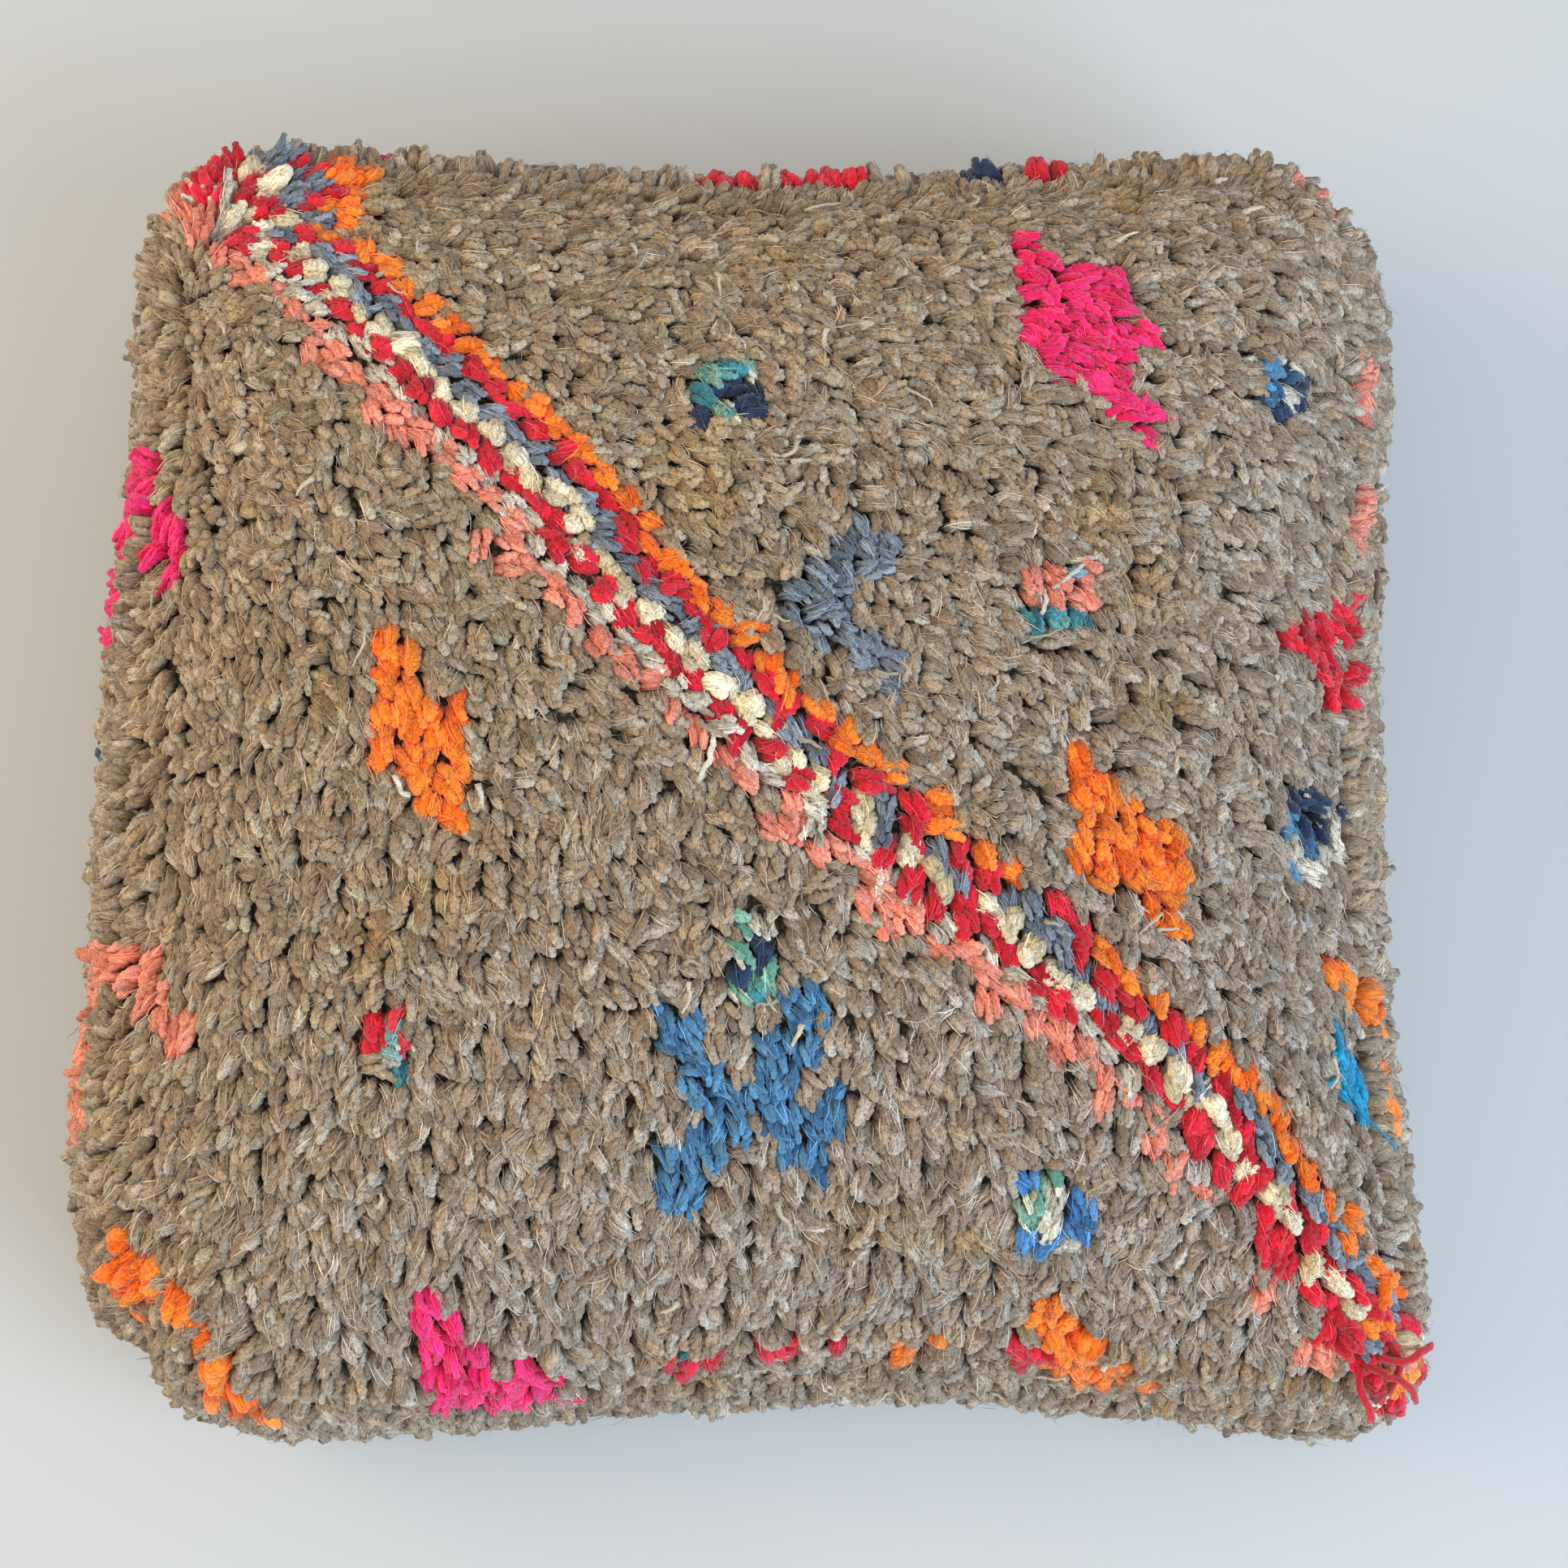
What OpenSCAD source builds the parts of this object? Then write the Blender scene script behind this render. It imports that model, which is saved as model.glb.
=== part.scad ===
// Square boxed floor cushion in knotted wool pile, with a zipped canvas base, a liner bag and fibre fill.
// The origin is at the middle of the base, where it meets the floor. +X is to the right, +Y away, +Z up.

/* [Cushion] */
// Overall width and depth, over the pile
body_w = 630; // [540:5:700]
// Overall height, over the pile at the middle of the crown
body_h = 205; // [190:5:240]
// Height of the crown above the top panel's rim
crown_h = 42; // [30:1:55]
// How far the sides bulge beyond the seams
bulge = 26; // [16:1:30]
// How far each side is pulled in between its corners
side_pull = 12; // [0:1:20]
// Corner radius in plan, over the pile
corner_r = 62; // [58:1:80]

/* [Cloth layers] */
// Length of the wool pile
pile_t = 12; // [8:1:14]
// Thickness of the woven ground that the pile is knotted into
ground_t = 2.5; // [2:0.5:3.5]
// Thickness of the liner bag's cloth
liner_t = 0.8; // [0.6:0.1:1.2]
// Thickness of the base canvas
canvas_t = 1.2; // [0.8:0.1:1.4]
// Space left between neighbouring layers
layer_gap = 0.4; // [0.3:0.1:0.6]
// Gap that the seam threads lie in
seam_gap = 3; // [3:0.5:4]
// Thickness of the seam thread
thread_d = 2; // [1.6:0.2:2.2]

/* [Zip] */
// Length of the rows of teeth
teeth_l = 436; // [300:4:460]
// Distance from one tooth to the next
tooth_pitch = 4; // [3:0.5:5]
// Width of one zip tape outside its teeth
tape_w = 13; // [11:0.5:15]
// Length of the pull tab from its hinge
pull_l = 28; // [20:1:32]
// Half width of the zip recess at the floor
recess_mouth = 34; // [30:1:40]

/* [Hidden] */

// Side numbers, counted anticlockwise from the front
FRONT = 0;
RIGHT = 1;
BACK = 2;
LEFT = 3;

// Steps along one side, and the share of them in each half corner
ring_n = 14;
arc_share = 2 / ring_n;
// Straight part of a side, from the middle to where a corner begins
flat_half = body_w / 2 - corner_r;
// Steps up a side, and half of the gap in a corner seam as a share of the side
wall_n = 4;
corner_gap = 0.008;

// Depth of each layer's outer face below the pile's outer face
ground_depth = pile_t + layer_gap;
liner_depth = ground_depth + ground_t + layer_gap;
fill_depth = liner_depth + liner_t + layer_gap;

// Heights of the top panel's rim, of the side panels' ends, and of the liner's base
rim_z = body_h - crown_h;
side_top_z = rim_z - pile_t - seam_gap;
side_base_z = canvas_t + seam_gap + 0.3;
liner_base_z = canvas_t + layer_gap;
// Rings of the crown, as shares of the rim's outline
crown_flat = 0.3;
crown_rings = [1, 0.9, 0.74, 0.55, crown_flat];
crown_power = 2.2;

// The zip: heights of its recess, tape, teeth and slider
recess_l = 500;
recess_roof = 9;
roof_half = 16;
slot_half = 9;
tape_z = recess_roof + canvas_t + 0.2;
tape_t = 0.6;
tape_l = recess_l - 20;
teeth_t = 2.6;
teeth_in = 0.8;
bead_in = 2;
bead_out = 3.2;
tape_edge = bead_out + 0.1;
teeth_mid_z = tape_z + tape_t / 2;
stop_l = 3;
slider_l = 14;
slider_front_half = 5;
slider_back_half = 3.9;
plate_t = 1.4;
plate_gap = teeth_t + 1;
lip_w = 1;
// The slider rests at the closed end of the teeth
slider_x = teeth_l / 2 - slider_l / 2 - 0.5;
// The pull's hinge
hinge_z = 5.2;
bar_r = 0.7;
eye_r = 1;
hub_r = 1.7;
lug_in = 2.1;
lug_w = 1.1;
pull_w = 7;
pull_t = 1.4;
liner_roof = teeth_mid_z + plate_gap / 2 + plate_t + 0.6;

// A point turned about the origin by quarter turns
function turned(p, side) =
    [p.x * cos(90 * side) - p.y * sin(90 * side), p.x * sin(90 * side) + p.y * cos(90 * side)];

// A point on the front side's outline at share u, from the middle of one corner to the middle of the next
function front_point(u, inset) =
    let (r = corner_r - inset,
         turn = 45 * min(u, 1 - u) / arc_share,
         x = flat_half * (2 * (u - arc_share) / (1 - 2 * arc_share) - 1))
    u < arc_share ? [-flat_half + r * cos(225 + turn), -flat_half + r * sin(225 + turn)]
    : u > 1 - arc_share ? [flat_half + r * cos(315 - turn), -flat_half + r * sin(315 - turn)]
    : [x, -flat_half - r + side_pull * (1 - pow(x / flat_half, 2))];

function plan_point(side, u, inset) = turned(front_point(u, inset), side);

// The whole outline, inset from the widest outline of the pile
function outline(inset) = [for (side = [0:3], i = [0:ring_n - 1]) plan_point(side, i / ring_n, inset)];

function at_z(points, z) = [for (p = points) [p.x, p.y, z]];

// How far a side is inset by its bulge, at a share h of its height
function bulge_inset(h) = bulge * pow(2 * h - 1, 2);

// Height of the crown over a ring, at a depth below the pile; the middle of the crown is flat
function crown_z(share, depth) =
    rim_z - depth + crown_h * (1 - pow((share - crown_flat) / (1 - crown_flat), crown_power));

function crown_ring(share, inset, depth) =
    at_z([for (p = outline(inset)) share * p], crown_z(share, depth));

// The cut through a side layer at share u: up its outer face and down its inner face
function side_cut(side, u, depth, thick, z0, z1) =
    [for (face = [0, 1], j = [0:wall_n])
        let (h = (face == 0 ? j : wall_n - j) / wall_n,
             p = plan_point(side, u, bulge_inset(h) + depth + face * thick))
        [p.x, p.y, z0 + (z1 - z0) * h]];

// The round cut through a thread that runs along the outline
function thread_cut(side, u, inset, z, d) =
    [for (a = [0:60:300])
        let (p = plan_point(side, u, inset + d / 2 * cos(a)))
        [p.x, p.y, z + d / 2 * sin(a)]];

// The same cuts with each loop's points the other way round, for cuts that are stacked upwards
function reversed_cuts(cuts) = [for (c = cuts) [for (i = [len(c) - 1:-1:0]) c[i]]];

// A solid through a row of cuts, each a loop of the same number of points, capped or joined end to end
module loft(cuts, closed = false) {
    m = len(cuts[0]);
    last = closed ? len(cuts) - 1 : len(cuts) - 2;
    function corner(i, j) = (i % len(cuts)) * m + j % m;
    sides = [for (i = [0:last], j = [0:m - 1], half = [0, 1])
        half == 0 ? [corner(i, j), corner(i, j + 1), corner(i + 1, j + 1)]
            : [corner(i, j), corner(i + 1, j + 1), corner(i + 1, j)]];
    ends = closed ? [] : [[for (j = [m - 1:-1:0]) j], [for (j = [0:m - 1]) (len(cuts) - 1) * m + j]];
    polyhedron([for (c = cuts, p = c) p], concat(sides, ends));
}

// One layer of the top panel
module crown_layer(depth, thick) {
    inset = bulge + depth;
    under = [for (i = [len(crown_rings) - 1:-1:0]) crown_ring(crown_rings[i], inset, depth + thick)];
    over = [for (share = crown_rings) crown_ring(share, inset, depth)];
    loft(reversed_cuts(concat(under, over)));
}

// One layer of a side panel
module side_layer(side, depth, thick) {
    loft([for (i = [0:ring_n])
        let (u = min(max(i / ring_n, corner_gap), 1 - corner_gap))
        side_cut(side, u, depth, thick, side_base_z, side_top_z)]);
}

// A thread that runs once around the cushion
module thread_loop(inset, z, d) {
    loft([for (side = [0:3], i = [0:ring_n - 1]) thread_cut(side, i / ring_n, inset, z, d)], closed = true);
}

// The space of the zip recess, grown outwards by a wall
module recess_prism(grow, roof) {
    mouth = recess_mouth + grow;
    top = roof_half + grow;
    translate([-recess_l / 2 - grow, 0, 0])
        rotate([90, 0, 90])
            linear_extrude(recess_l + 2 * grow)
                polygon([[-mouth, -1], [mouth, -1], [mouth, 0], [top, roof], [-top, roof], [-mouth, 0]]);
}

// The half of space in front of the zip's centre line, or behind it
module front_half(gap) {
    translate([-body_w, -body_w, -body_h]) cube([2 * body_w, body_w - gap, 2 * body_h]);
}

// One half of the base: flat canvas with the wall and the sewn edge of the zip recess
module base_half() {
    difference() {
        intersection() {
            union() {
                linear_extrude(canvas_t) polygon(outline(bulge + pile_t - 4));
                difference() {
                    recess_prism(canvas_t, recess_roof + canvas_t);
                    translate([0, 0, -10]) cube([2 * body_w, 2 * body_w, 20], center = true);
                }
            }
            front_half(0.8);
        }
        recess_prism(0, recess_roof);
        translate([0, 0, recess_roof]) cube([tape_l, 2 * slot_half, 10], center = true);
    }
}

module zip_tape() {
    translate([-tape_l / 2, -tape_edge - tape_w, tape_z]) cube([tape_l, tape_w, tape_t]);
}

// A row of teeth on its bead, as one comb
module zip_teeth() {
    count = floor(teeth_l / tooth_pitch);
    tooth = [[0.75, bead_in], [0.65, teeth_in], [0.35, teeth_in], [0.25, bead_in]];
    translate([-teeth_l / 2, 0, teeth_mid_z - teeth_t / 2])
        linear_extrude(teeth_t)
            polygon(concat(
                [[0, -bead_out], [teeth_l, -bead_out]],
                [for (i = [count - 1:-1:0], c = tooth) [(i + c[0]) * tooth_pitch, -c[1]]]));
}

// One plate of the slider, wide where the two rows would part
module slider_plate() {
    edge = [[-slider_l / 2, slider_back_half], [0, slider_front_half],
        [slider_l / 2 - 1, slider_front_half], [slider_l / 2, slider_front_half - 1]];
    linear_extrude(plate_t)
        polygon(concat(edge, [for (i = [3:-1:0]) [edge[i].x, -edge[i].y]]));
}

module slider_lips(z, h) {
    for (side = [-1, 1])
        translate([0, side * (slider_front_half - lip_w / 2), z + h / 2])
            cube([slider_l / 2, lip_w, h], center = true);
}

module top_foundation() {
    color("#b8a88e") crown_layer(ground_depth, ground_t);
}

module top_pile() {
    color("#a8967e") crown_layer(0, pile_t);
}

module side_foundation(side) {
    color("#b8a88e") side_layer(side, ground_depth, ground_t);
}

module side_pile(side) {
    color("#a08e76") side_layer(side, 0, pile_t);
}

module top_edge_thread() {
    color("#8a7a64") thread_loop(bulge + pile_t / 2, rim_z - pile_t - seam_gap / 2, thread_d);
}

module corner_thread() {
    color("#8a7a64")
        for (side = [0:3])
            loft([for (j = [0:wall_n])
                let (h = j / wall_n, p = plan_point(side, 0, bulge_inset(h) + pile_t * 0.4))
                [for (a = [0:60:300])
                    [p.x + thread_d / 2 * cos(-a), p.y + thread_d / 2 * sin(-a),
                        side_base_z + (side_top_z - side_base_z) * h]]]);
}

module base_edge_thread() {
    color("#d8cfbd") thread_loop(bulge + pile_t, canvas_t + seam_gap / 2 + 0.1, thread_d);
}

module base_panel_front() {
    color("#d6cbb4") base_half();
}

module base_panel_back() {
    color("#d6cbb4") mirror([0, 1, 0]) base_half();
}

module base_join_thread() {
    color("#e8e0d0")
        for (side = [-1, 1])
            translate([side * (recess_l / 2 + 12), 0, canvas_t / 2])
                rotate([0, 90, 0]) cylinder(h = 16, d = 0.8, center = true, $fn = 16);
}

module zip_tape_front() {
    color("#8f8470") zip_tape();
}

module zip_tape_back() {
    color("#8f8470") mirror([0, 1, 0]) zip_tape();
}

module zip_teeth_front() {
    color("#b08d4f") zip_teeth();
}

module zip_teeth_back() {
    color("#b08d4f") translate([tooth_pitch / 2, 0, 0]) mirror([0, 1, 0]) zip_teeth();
}

module zip_slider() {
    low = teeth_mid_z - plate_gap / 2 - plate_t;
    high = teeth_mid_z + plate_gap / 2;
    lip_h = plate_gap / 2 - tape_t / 2 - 0.4;
    color("#b08d4f")
        translate([slider_x, 0, 0]) {
            translate([0, 0, low]) slider_plate();
            translate([0, 0, high]) slider_plate();
            translate([slider_l / 2 - 2.5, 0, teeth_mid_z]) cube([3, 0.9, plate_gap + 0.2], center = true);
            slider_lips(low + plate_t, lip_h);
            slider_lips(high - lip_h, lip_h);
            for (side = [-1, 1])
                translate([0, side * (lug_in + lug_w / 2), (hinge_z - hub_r / 2 + low) / 2])
                    cube([3, lug_w, low - hinge_z + hub_r / 2 + 0.2], center = true);
            translate([0, 0, hinge_z])
                rotate([90, 0, 0]) cylinder(h = 2 * lug_in + 0.4, r = bar_r, center = true, $fn = 32);
        }
}

module zip_pull() {
    hub_l = 2 * lug_in - 0.6;
    neck_l = 8;
    end_x = -pull_l + pull_w / 2;
    color("#b08d4f")
        translate([slider_x, 0, hinge_z])
            difference() {
                union() {
                    rotate([90, 0, 0]) cylinder(h = hub_l, r = hub_r, center = true, $fn = 32);
                    translate([-neck_l / 2 - 1, 0, 0]) cube([neck_l, hub_l, pull_t], center = true);
                    translate([end_x, 0, 0]) cylinder(h = pull_t, d = pull_w, center = true, $fn = 32);
                    translate([(end_x - neck_l) / 2, 0, 0])
                        cube([-end_x - neck_l, pull_w, pull_t], center = true);
                }
                rotate([90, 0, 0]) cylinder(h = pull_w, r = eye_r, center = true, $fn = 32);
                translate([end_x, 0, 0]) cylinder(h = 5, d = 3.2, center = true, $fn = 32);
            }
}

module zip_top_stops() {
    color("#b08d4f")
        for (side = [-1, 1])
            translate([teeth_l / 2 + 2.3 + stop_l / 2, side * (teeth_in + bead_out) / 2, teeth_mid_z])
                cube([stop_l, bead_out - teeth_in, teeth_t], center = true);
}

module zip_bottom_stop() {
    color("#b08d4f")
        translate([-teeth_l / 2 - 0.3 - stop_l / 2, 0, teeth_mid_z])
            cube([stop_l, 2 * bead_out, teeth_t], center = true);
}

module zip_thread() {
    color("#e8e0d0")
        for (y = [-14, -11, 11, 14])
            translate([0, y, recess_roof - 0.4])
                rotate([0, 90, 0]) cylinder(h = tape_l - 10, d = 0.6, center = true, $fn = 16);
}

module liner_top() {
    color("#e6ddc8") crown_layer(liner_depth, liner_t);
}

module liner_side() {
    top_z = rim_z - liner_depth - liner_t - layer_gap;
    color("#e6ddc8")
        loft([for (side = [0:3], i = [0:ring_n - 1])
            side_cut(side, i / ring_n, liner_depth, liner_t, side_base_z, top_z)],
            closed = true);
}

module liner_base() {
    color("#e6ddc8")
        difference() {
            union() {
                translate([0, 0, liner_base_z])
                    linear_extrude(liner_t) polygon(outline(bulge + liner_depth));
                difference() {
                    recess_prism(canvas_t + layer_gap + liner_t, liner_roof + liner_t);
                    translate([0, 0, liner_base_z - 10]) cube([2 * body_w, 2 * body_w, 20], center = true);
                }
            }
            recess_prism(canvas_t + layer_gap, liner_roof);
        }
}

module liner_thread() {
    color("#f0e9d8") thread_loop(bulge + liner_depth + liner_t + 1, liner_base_z + liner_t + 0.9, 1);
}

module fibre_fill() {
    foot_z = liner_base_z + liner_t + layer_gap;
    depth = fill_depth + layer_gap;
    wall_h = rim_z - fill_depth - side_base_z;
    under = at_z(outline(bulge + fill_depth + 3), foot_z);
    wall = [for (j = [0:wall_n])
        at_z(outline(bulge_inset(j / wall_n) + depth), side_base_z + wall_h * j / wall_n)];
    over = [for (i = [1:len(crown_rings) - 1]) crown_ring(crown_rings[i], bulge + depth, fill_depth)];
    color("#f4f1ea")
        difference() {
            loft(reversed_cuts(concat([under], wall, over)));
            recess_prism(canvas_t + liner_t + 2 * layer_gap, liner_roof + liner_t + layer_gap);
        }
}

top_foundation();
top_pile();
side_foundation(FRONT);  // side_front_foundation
side_pile(FRONT);  // side_front_pile
side_foundation(RIGHT);  // side_right_foundation
side_pile(RIGHT);  // side_right_pile
side_foundation(BACK);  // side_back_foundation
side_pile(BACK);  // side_back_pile
side_foundation(LEFT);  // side_left_foundation
side_pile(LEFT);  // side_left_pile
top_edge_thread();
corner_thread();
base_edge_thread();
base_panel_front();
base_panel_back();
base_join_thread();
zip_tape_front();
zip_tape_back();
zip_teeth_front();
zip_teeth_back();
zip_slider();
zip_pull();
zip_top_stops();
zip_bottom_stop();
zip_thread();
liner_top();
liner_side();
liner_base();
liner_thread();
fibre_fill();
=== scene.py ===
"""A square floor cushion sewn from knotted wool rug: woven ground, knotted pile with a diagonal band and
small motifs, a canvas base with a zip, a liner bag and fibre fill. Metres, +X right, +Y away, +Z up."""
import math

import bmesh
import bpy
import numpy as np
from mathutils import Matrix, Vector


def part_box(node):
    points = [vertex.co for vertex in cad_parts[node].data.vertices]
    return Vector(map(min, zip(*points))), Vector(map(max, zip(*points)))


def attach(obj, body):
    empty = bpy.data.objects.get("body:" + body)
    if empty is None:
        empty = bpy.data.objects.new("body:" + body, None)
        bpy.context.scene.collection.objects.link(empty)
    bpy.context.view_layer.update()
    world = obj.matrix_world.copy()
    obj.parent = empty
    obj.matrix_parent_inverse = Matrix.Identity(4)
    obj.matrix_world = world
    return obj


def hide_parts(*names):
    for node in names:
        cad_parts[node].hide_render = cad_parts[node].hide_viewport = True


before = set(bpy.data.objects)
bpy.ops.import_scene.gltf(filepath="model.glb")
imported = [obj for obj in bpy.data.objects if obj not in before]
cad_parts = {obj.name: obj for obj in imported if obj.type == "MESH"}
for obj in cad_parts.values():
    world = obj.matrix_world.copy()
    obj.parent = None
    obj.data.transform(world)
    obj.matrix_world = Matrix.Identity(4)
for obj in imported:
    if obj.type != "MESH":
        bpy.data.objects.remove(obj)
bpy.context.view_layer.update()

MM = 0.001
TAU = 2 * math.pi

# Heights and half widths, all from the frame
TOP_HIGH, SIDE_HIGH, BASE_HIGH, TAPE_HIGH = (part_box(node)[1] for node in (
    "top_foundation", "side_right_foundation", "base_panel_front", "zip_tape_front"))
TOP_HALF = TOP_HIGH.x
CROWN_Z = TOP_HIGH.z
SEAM_Z = SIDE_HIGH.z + 2 * MM
WIDE_HALF = SIDE_HIGH.x
BASE_HALF = BASE_HIGH.x
RECESS_Z = BASE_HIGH.z
RECESS_HALF = TAPE_HIGH.x + 10 * MM
CANVAS_T = 1.2 * MM
GROUND_T = 2.5 * MM
LINER_T = 0.8 * MM

# Knots of the pile: how many across and along the top, and up a side
KNOTS = 56
SIDE_ROWS = 16

# The cloth that is simulated: steps along a side and up a side, the furthest that filling it may move a
# point, its settings, and how many frames it is filled for
STEPS = 54
UP_STEPS = 16
SWELL_CAP = 14 * MM
CLOTH = {"quality": 6, "mass": 0.3, "tension_stiffness": 18, "compression_stiffness": 18,
         "shear_stiffness": 6, "bending_stiffness": 1.5, "use_pressure": True, "uniform_pressure_force": 5}
CLOTH_FRAMES = 20
SIDES = ("front", "right", "back", "left")

# How far the top's sides are drawn in midway, the left one's far half more, and the share of the half
# width by which its corners are drawn in
SIDE_IN = {"front": 27 * MM, "right": 20 * MM, "back": 17 * MM, "left": 3 * MM}
LEFT_FAR_IN = 19 * MM
CORNER_IN = {"front_left": 0.165, "front_right": 0.080, "back_right": 0.125, "back_left": 0.12}


# ---- camera

def add_camera():
    """Almost straight above the cushion, a little towards its near side."""
    azimuth, elevation, roll = (math.radians(angle) for angle in (0.5, 78.7, 1.0))
    target = Vector((0.0125, -0.012, 0.12))
    distance = 1.243
    back = Vector((-math.sin(azimuth) * math.cos(elevation), -math.cos(azimuth) * math.cos(elevation),
                   math.sin(elevation)))
    level = Vector((math.cos(azimuth), -math.sin(azimuth), 0))
    right = level * math.cos(roll) + back.cross(level) * math.sin(roll)
    axes = Matrix((right, back.cross(right), back)).transposed().to_4x4()
    data = bpy.data.cameras.new("camera")
    data.sensor_width = 36
    data.lens = 65.4
    camera = bpy.data.objects.new("camera", data)
    bpy.context.scene.collection.objects.link(camera)
    camera.matrix_world = Matrix.Translation(target + back * distance) @ axes
    bpy.context.scene.camera = camera


# ---- the cover's cloth

def smooth(x):
    x = np.clip(x, 0, 1)
    return x * x * (3 - 2 * x)


def corner_pull(s, t):
    """How far a corner of the plan is drawn in, as a share of the half width. The near right corner, where
    the band ends in an ear, is the sharpest."""
    amount = np.where(t < 0, np.where(s < 0, CORNER_IN["front_left"], CORNER_IN["front_right"]),
                      np.where(s < 0, CORNER_IN["back_left"], CORNER_IN["back_right"]))
    return amount * np.abs(s) ** 6 * np.abs(t) ** 6


def plan(s, t, half, pulled=1):
    """A point of a panel's plan, s and t from -1 to 1, with each side pulled in between its corners."""
    draw = 1 - corner_pull(s, t)
    pull_x = pulled * np.where(s < 0, SIDE_IN["left"] + LEFT_FAR_IN * smooth((t - 0.1) / 0.7),
                                SIDE_IN["right"] * (1 - 0.35 * t))
    pull_y = pulled * np.where(t < 0, SIDE_IN["front"] * (1 + 0.9 * s), SIDE_IN["back"])
    x = s * (half * draw - pull_x * (1 - t ** 2) ** 1.5 * np.abs(s) ** 3)
    y = t * (half * draw - pull_y * (1 - s ** 2) ** 1.5 * np.abs(t) ** 3)
    return x, y


def side_plan(side, s, half, pulled=1):
    """A point of the outline on one side, s running anticlockwise."""
    ends = {0: (s, -1 + 0 * s), 1: (1 + 0 * s, s), 2: (-s, 1 + 0 * s), 3: (-1 + 0 * s, -s)}
    return plan(*ends[side], half, pulled)


def seam_lift(s, t):
    """The top seam stands a little higher at the corners."""
    return 7 * MM * np.abs(s * t) ** 4


def start_top(s, t):
    x, y = plan(s, t, TOP_HALF)
    rim = (np.abs(s) ** 5 + np.abs(t) ** 5) ** (1 / 5)
    crown = CROWN_Z - SEAM_Z - 7 * MM
    z = SEAM_Z + crown * (1 - np.clip(rim, 0, 1) ** 2.6) + seam_lift(s, t)
    return np.stack([x, y, z], -1)


def start_side(side, s, w):
    """A side before it swells; w runs from 0 at the base to 1 at the top seam."""
    half = BASE_HALF + (TOP_HALF - BASE_HALF) * w
    bow = (WIDE_HALF - 6 * MM - (TOP_HALF + BASE_HALF) / 2) * 4 * w * (1 - w)
    x, y = side_plan(side, s, 1, pulled=0)
    seam_x, seam_y = side_plan(side, s, half)
    length = np.maximum(np.abs(x), np.abs(y))
    z = SEAM_Z * w + seam_lift(s, 1 + 0 * s) * w
    return np.stack([seam_x + bow * x / length, seam_y + bow * y / length, z], -1)


def start_base(s, t):
    x, y = plan(s, t, BASE_HALF)
    return np.stack([x, y, 0 * x], -1)


def span(low, across, up=None):
    """Values of s and t over a grid, each from low to 1."""
    return np.meshgrid(np.linspace(low, 1, across), np.linspace(low, 1, up or across), indexing="ij")


def start_grids():
    """Each panel's grid of points before the cover is filled."""
    s, t = span(-1, STEPS + 1)
    u, w = np.meshgrid(np.linspace(-1, 1, STEPS + 1), np.linspace(0, 1, UP_STEPS + 1), indexing="ij")
    grids = {"top": start_top(s, t), "base": start_base(s, t)}
    for number, side in enumerate(SIDES):
        grids[side] = start_side(number, u, w)
    return grids


def quads(rows, cols, flip=False):
    """Faces of a grid whose points are numbered row by row."""
    a = (np.arange(rows - 1)[:, None] * cols + np.arange(cols - 1)).ravel()
    faces = np.stack([a, a + cols, a + cols + 1, a + 1], 1)
    return faces[:, ::-1] if flip else faces


def joined(grids):
    """The points of all grids in one list, the faces of each grid, and the numbers of its points."""
    faces, numbers, count = [], {}, 0
    for name, grid in grids.items():
        rows, cols = grid.shape[:2]
        faces.append(quads(rows, cols, flip=name == "base") + count)
        numbers[name] = count + np.arange(rows * cols).reshape(rows, cols)
        count += rows * cols
    return np.concatenate([grid.reshape(-1, 3) for grid in grids.values()]), faces, numbers


def mesh_from(name, points, faces):
    """A mesh from points and a list of face arrays, each of faces with the same number of corners."""
    mesh = bpy.data.meshes.new(name)
    faces = [f for f in faces if len(f)]
    loops = np.concatenate([f.ravel() for f in faces])
    sizes = np.concatenate([np.full(len(f), f.shape[1]) for f in faces])
    mesh.vertices.add(len(points))
    mesh.vertices.foreach_set("co", np.asarray(points, np.float32).ravel())
    mesh.loops.add(len(loops))
    mesh.loops.foreach_set("vertex_index", loops.astype(np.int32))
    mesh.polygons.add(len(sizes))
    mesh.polygons.foreach_set("loop_start", (np.cumsum(sizes) - sizes).astype(np.int32))
    mesh.polygons.foreach_set("use_smooth", np.full(len(sizes), True))
    mesh.update(calc_edges=True)
    mesh.validate()
    return mesh


def add_object(name, mesh):
    """An object of a mesh, in the scene."""
    obj = bpy.data.objects.new(name, mesh)
    bpy.context.scene.collection.objects.link(obj)
    return obj


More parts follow.
